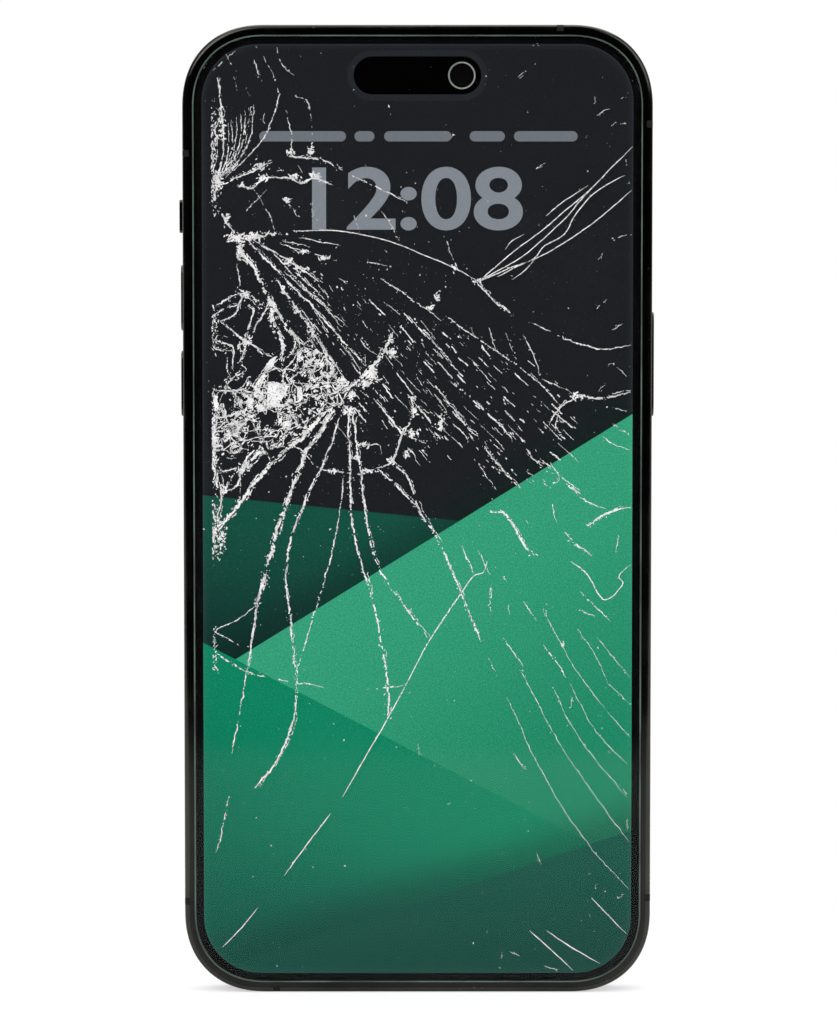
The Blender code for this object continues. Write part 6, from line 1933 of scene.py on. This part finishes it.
    def parallel_dashes(self) -> None:
        """Adds the field of short, nearly parallel dashes that leaves the upper star."""
        for _ in range(self.dash_count):
            x = self.chance.uniform(-20, 26)
            z = 121.5 - 0.42 * (x + 20) - self.chance.random() * (25 - 0.12 * (x + 20))
            if z < 84:
                continue
            lean = math.radians(-49 + self.chance.gauss(0, 4) + 0.25 * x)
            length = min(4.5, max(0.35, self.chance.expovariate(1 / 1.1)))
            heading = Vector((math.cos(lean), math.sin(lean)))
            count = max(2, round(length / 0.3))
            path = []
            for index in range(count + 1):
                shake = heading.orthogonal() * self.chance.gauss(0, 0.04)
                path.append((Vector((x, z)) + heading * length * index / count + shake) * MM)
            bold = self.chance.choice((0.7, 0.9, 1.1, 2.0))
            layer = self.bright if bold > 1 else self.fine
            layer.wedge(path, self.thin(len(path), 0.11 * bold))

    def specks(self) -> None:
        """Scatters small chips over the glass, more of them near the impacts."""
        half = self.body.high.x / MM - 3.4
        top = self.body.high.z / MM - 3.4
        for _ in range(self.speck_count):
            if self.chance.random() < 0.62:
                x, z = self.chance.gauss(-8, 14), self.chance.gauss(108, 13)
            else:
                x, z = self.chance.uniform(-half, half), self.chance.uniform(3.4, top)
            if abs(x) > half or not 3.4 < z < top:
                continue
            size = min(0.24, 0.022 + 0.026 * self.chance.expovariate(1.0))
            corners = self.shard(Vector((x, z)) * MM, size, stretch=self.chance.uniform(1, 2))
            self.crumbs.chip(corners, 0.05 * MM)


def cell_share(spot: Vector, cell: tuple[float, ...]) -> float:
    """How far a point lies from the middle of a clear cell, 1 at its edge.

    Args:
        spot: The point.
        cell: Middle across and up, then half sizes.

    Returns:
        The share.
    """
    return math.hypot((spot.x - cell[0]) / cell[2], (spot.y - cell[1]) / cell[3])


def inside(spot: Vector, outline: Sequence[Point]) -> bool:
    """Tells whether a point lies inside an outline.

    Args:
        spot: The point.
        outline: Corners of the outline.

    Returns:
        True where it does.
    """
    found = False
    for (ax, az), (bx, bz) in zip(outline, [*outline[1:], outline[0]]):
        if (az > spot.y) != (bz > spot.y) and spot.x < (bx - ax) * (spot.y - az) / (bz - az) + ax:
            found = not found
    return found


# Name, place and width in metres, and watts of each lamp
LAMPS = (
    ("key_light", (-0.55, -0.75, 0.85), 0.9, 9.0),
    ("fill_light", (0.75, -0.55, 0.7), 0.9, 6.0),
    ("top_light", (0.0, 0.25, 1.0), 1.0, 8.0),
)


@dataclass
class Studio:
    """White floor and backdrop, soft light and the camera."""

    body: Body
    distance: float = 770 * MM
    pitch: float = math.radians(4.1)
    lens: float = 163.4
    aim_side: float = 0.08 * MM

    def build(self) -> None:
        """Sets everything that isn't the phone."""
        self.floor()
        self.world()
        for name, place, size, energy in LAMPS:
            self.lamp(name, Vector(place), size, energy)
        self.camera()
        scene = bpy.context.scene
        scene.view_settings.view_transform = "Standard"

    def floor(self) -> None:
        """Makes the floor, which looks white to the camera and takes the phone's shadow; its far front part
        is painted dark for the phone's reflections.
        """
        clear_selection()
        bpy.ops.mesh.primitive_plane_add(size=6.0, location=(0, 0, self.body.low.z - 0.00002))
        floor = bpy.context.object
        floor.name = "floor"
        graph = Graph("white_floor")
        grain = graph.noise(12.0, 3.0)
        white = graph.mix(grain, (0.86, 0.86, 0.86), (0.9, 0.9, 0.9))
        parts = graph.add("SeparateXYZ", {0: graph.place()})
        # Beyond about 0.3 m in front of the phone the floor is painted dark: painted shade that only the
        # phone's reflections and bounced light see, while camera rays see plain white.
        white = graph.mix(graph.remap(parts.outputs[1], -0.36, -0.3), (0.02, 0.02, 0.02), white)
        paper = graph.add("BsdfDiffuse", {"Color": white})
        glow = graph.add("Emission", {"Color": (1.0, 1.0, 1.0), "Strength": 1.0})
        squares = [graph.math("MULTIPLY", part, part) for part in (parts.outputs[0], parts.outputs[1])]
        reach = graph.math("SQRT", graph.math("ADD", squares[0], squares[1]))
        seen = graph.add("LightPath").outputs["Is Camera Ray"]
        share = graph.math("MULTIPLY", seen, graph.remap(reach, 0.02, 0.12, 0.55, 1.0))
        whole = graph.add("MixShader", {0: share, 1: paper.outputs[0], 2: glow.outputs[0]})
        floor.data.materials.append(graph.end(whole.outputs[0]))

    def world(self) -> None:
        """Sets a white surround behind the phone and a dimmer one before it."""
        world = bpy.data.worlds.new("studio")
        bpy.context.scene.world = world
        world.use_nodes = True
        tree = world.node_tree
        tree.nodes.clear()
        path = tree.nodes.new("ShaderNodeLightPath")
        place = tree.nodes.new("ShaderNodeTexCoord")
        parts = tree.nodes.new("ShaderNodeSeparateXYZ")
        tree.links.new(place.outputs["Generated"], parts.inputs[0])
        behind = tree.nodes.new("ShaderNodeMapRange")
        behind.interpolation_type = "SMOOTHSTEP"
        for key, value in (("From Min", 0.0), ("From Max", 0.7), ("To Min", 0.03), ("To Max", 0.9)):
            behind.inputs[key].default_value = value
        tree.links.new(parts.outputs[1], behind.inputs["Value"])
        gloss = tree.nodes.new("ShaderNodeMix")
        gloss.inputs[2].default_value = 0.6
        tree.links.new(path.outputs["Is Glossy Ray"], gloss.inputs[0])
        tree.links.new(behind.outputs[0], gloss.inputs[3])
        seen = tree.nodes.new("ShaderNodeMix")
        seen.inputs[3].default_value = 1.0
        tree.links.new(path.outputs["Is Camera Ray"], seen.inputs[0])
        tree.links.new(gloss.outputs[0], seen.inputs[2])
        back = tree.nodes.new("ShaderNodeBackground")
        back.inputs["Color"].default_value = (1.0, 1.0, 1.0, 1.0)
        tree.links.new(seen.outputs[0], back.inputs["Strength"])
        output = tree.nodes.new("ShaderNodeOutputWorld")
        tree.links.new(back.outputs[0], output.inputs["Surface"])

    def lamp(self, name: str, place: Vector, size: float, energy: float) -> None:
        """Adds one soft lamp that looks at the phone.

        Args:
            name: Its name.
            place: Where it hangs.
            size: Its width.
            energy: Its power in watts.
        """
        clear_selection()
        target = Vector((0, 0, self.body.middle.z))
        bpy.ops.object.light_add(type="AREA", location=place)
        lamp = bpy.context.object
        lamp.name = name
        lamp.data.energy = energy
        lamp.data.size = size
        lamp.rotation_euler = (target - place).to_track_quat("-Z", "Y").to_euler()

    def camera(self) -> None:
        """Sets the camera at the photograph's height, distance and lens."""
        clear_selection()
        target = Vector((self.aim_side, self.body.low.y, self.body.middle.z))
        away = Vector((0.0, -math.cos(self.pitch), math.sin(self.pitch))) * self.distance
        bpy.ops.object.camera_add(location=target + away)
        camera = bpy.context.object
        camera.name = "photo_camera"
        camera.data.lens = self.lens
        camera.data.sensor_width = 36.0
        camera.data.clip_start = 0.01
        camera.rotation_euler = (-away).to_track_quat("-Z", "Y").to_euler()
        bpy.context.scene.camera = camera


def make_finishes() -> dict[Slot, bpy.types.Material]:
    """Makes one material for each slot of the record, but for the lit screen."""
    finishes = {
        Slot.FRAME: Metal("polished_frame", (0.038, 0.039, 0.033), 0.13, dust=0.4),
        Slot.STEEL: Metal("bright_steel", (0.16, 0.158, 0.155), 0.2),
        Slot.PRESSED: Metal("pressed_metal", (0.48, 0.48, 0.47), 0.38, spread=0.08),
        Slot.GLASS: ClearPane("clear_glass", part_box("front_glass")[0].y),
        Slot.REAR: Moulded("rear_frosted_glass", (0.03, 0.03, 0.029), 0.42, 3000.0, 0.05, 0.08),
        Slot.COVER: ClearPane("lens_cover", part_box("camera_cover_main")[1].y, 1.0, 1.25, 0.001),
        Slot.SEAL: Moulded("glass_seal", (0.052, 0.082, 0.068), 0.55, 2400.0, 0.5, 0.4),
        # The front camera's metal ring is given a light grey, nearly matt colour: a painted highlight
        # standing in for the bright line it reflects.
        Slot.CAMERA_RING: Moulded("camera_ring", (0.42, 0.43, 0.4), 0.35, shine=0.4),
        # The front lens's dark red second colour is a painted sheen, strongest at grazing angles.
        Slot.LENS: CoatedLens("lens_glass", (0.003, 0.0022, 0.0022), (0.03, 0.012, 0.014)),
        Slot.BLACK: Moulded("black_plastic", (0.01, 0.01, 0.01), 0.5, shine=0.3),
        Slot.STRIP: Moulded("antenna_plastic", (0.008, 0.008, 0.0075), 0.6, shine=0.1),
        Slot.GOLD: Metal("contact_gold", (0.75, 0.52, 0.2), 0.28),
        Slot.COPPER: Metal("coil_copper", (0.66, 0.3, 0.13), 0.36),
        Slot.BOARD: Moulded("circuit_board", (0.02, 0.07, 0.05), 0.45),
        Slot.FILM: Moulded("flex_film", (0.14, 0.08, 0.03), 0.4),
        Slot.CARD: Moulded("card_plastic", (0.75, 0.75, 0.72), 0.4, spread=0.05),
        Slot.EMITTER: Moulded("emitter_plastic", (0.75, 0.68, 0.42), 0.35),
    }
    return {slot: finish.make() for slot, finish in finishes.items()}


def dress_packed(frame: dict, finishes: dict[Slot, bpy.types.Material]) -> None:
    """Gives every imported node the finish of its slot.

    Args:
        finishes: Material of each slot.
    """
    for row in frame["record"]["subparts"]:
        node = frame["nodes"][row["node"]]
        node.data.materials.clear()
        node.data.materials.append(finishes[Slot(row["material_slot"])])


LOWER_EDGE_PIECES = (
    ("port_shell", "charge_port", Slot.BLACK),
    ("screw_left", "bottom_screw_left", Slot.STEEL),
    ("screw_right", "bottom_screw_right", Slot.STEEL),
)


def main() -> None:
    """Builds the looks in order."""
    logging.basicConfig(level=logging.INFO, format="%(name)s: %(message)s")
    for thing in list(bpy.data.objects):
        bpy.data.objects.remove(thing, do_unlink=True)
    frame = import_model()
    body = Body()
    display = Display(body)
    body.finishes = make_finishes()
    body.finishes[Slot.SCREEN] = display.screen_finish()
    dress_packed(frame, body.finishes)
    SideBand(body).build()
    Keys(body).build()
    display.build()
    ShatteredGlass(body).build()
    Back(body).build()
    for name, node, slot in LOWER_EDGE_PIECES:
        body.dress(true_copy(name, node, 0.03 * MM), slot, nodes=[node])
    Studio(body).build()


if __name__ == "__main__":
    main()
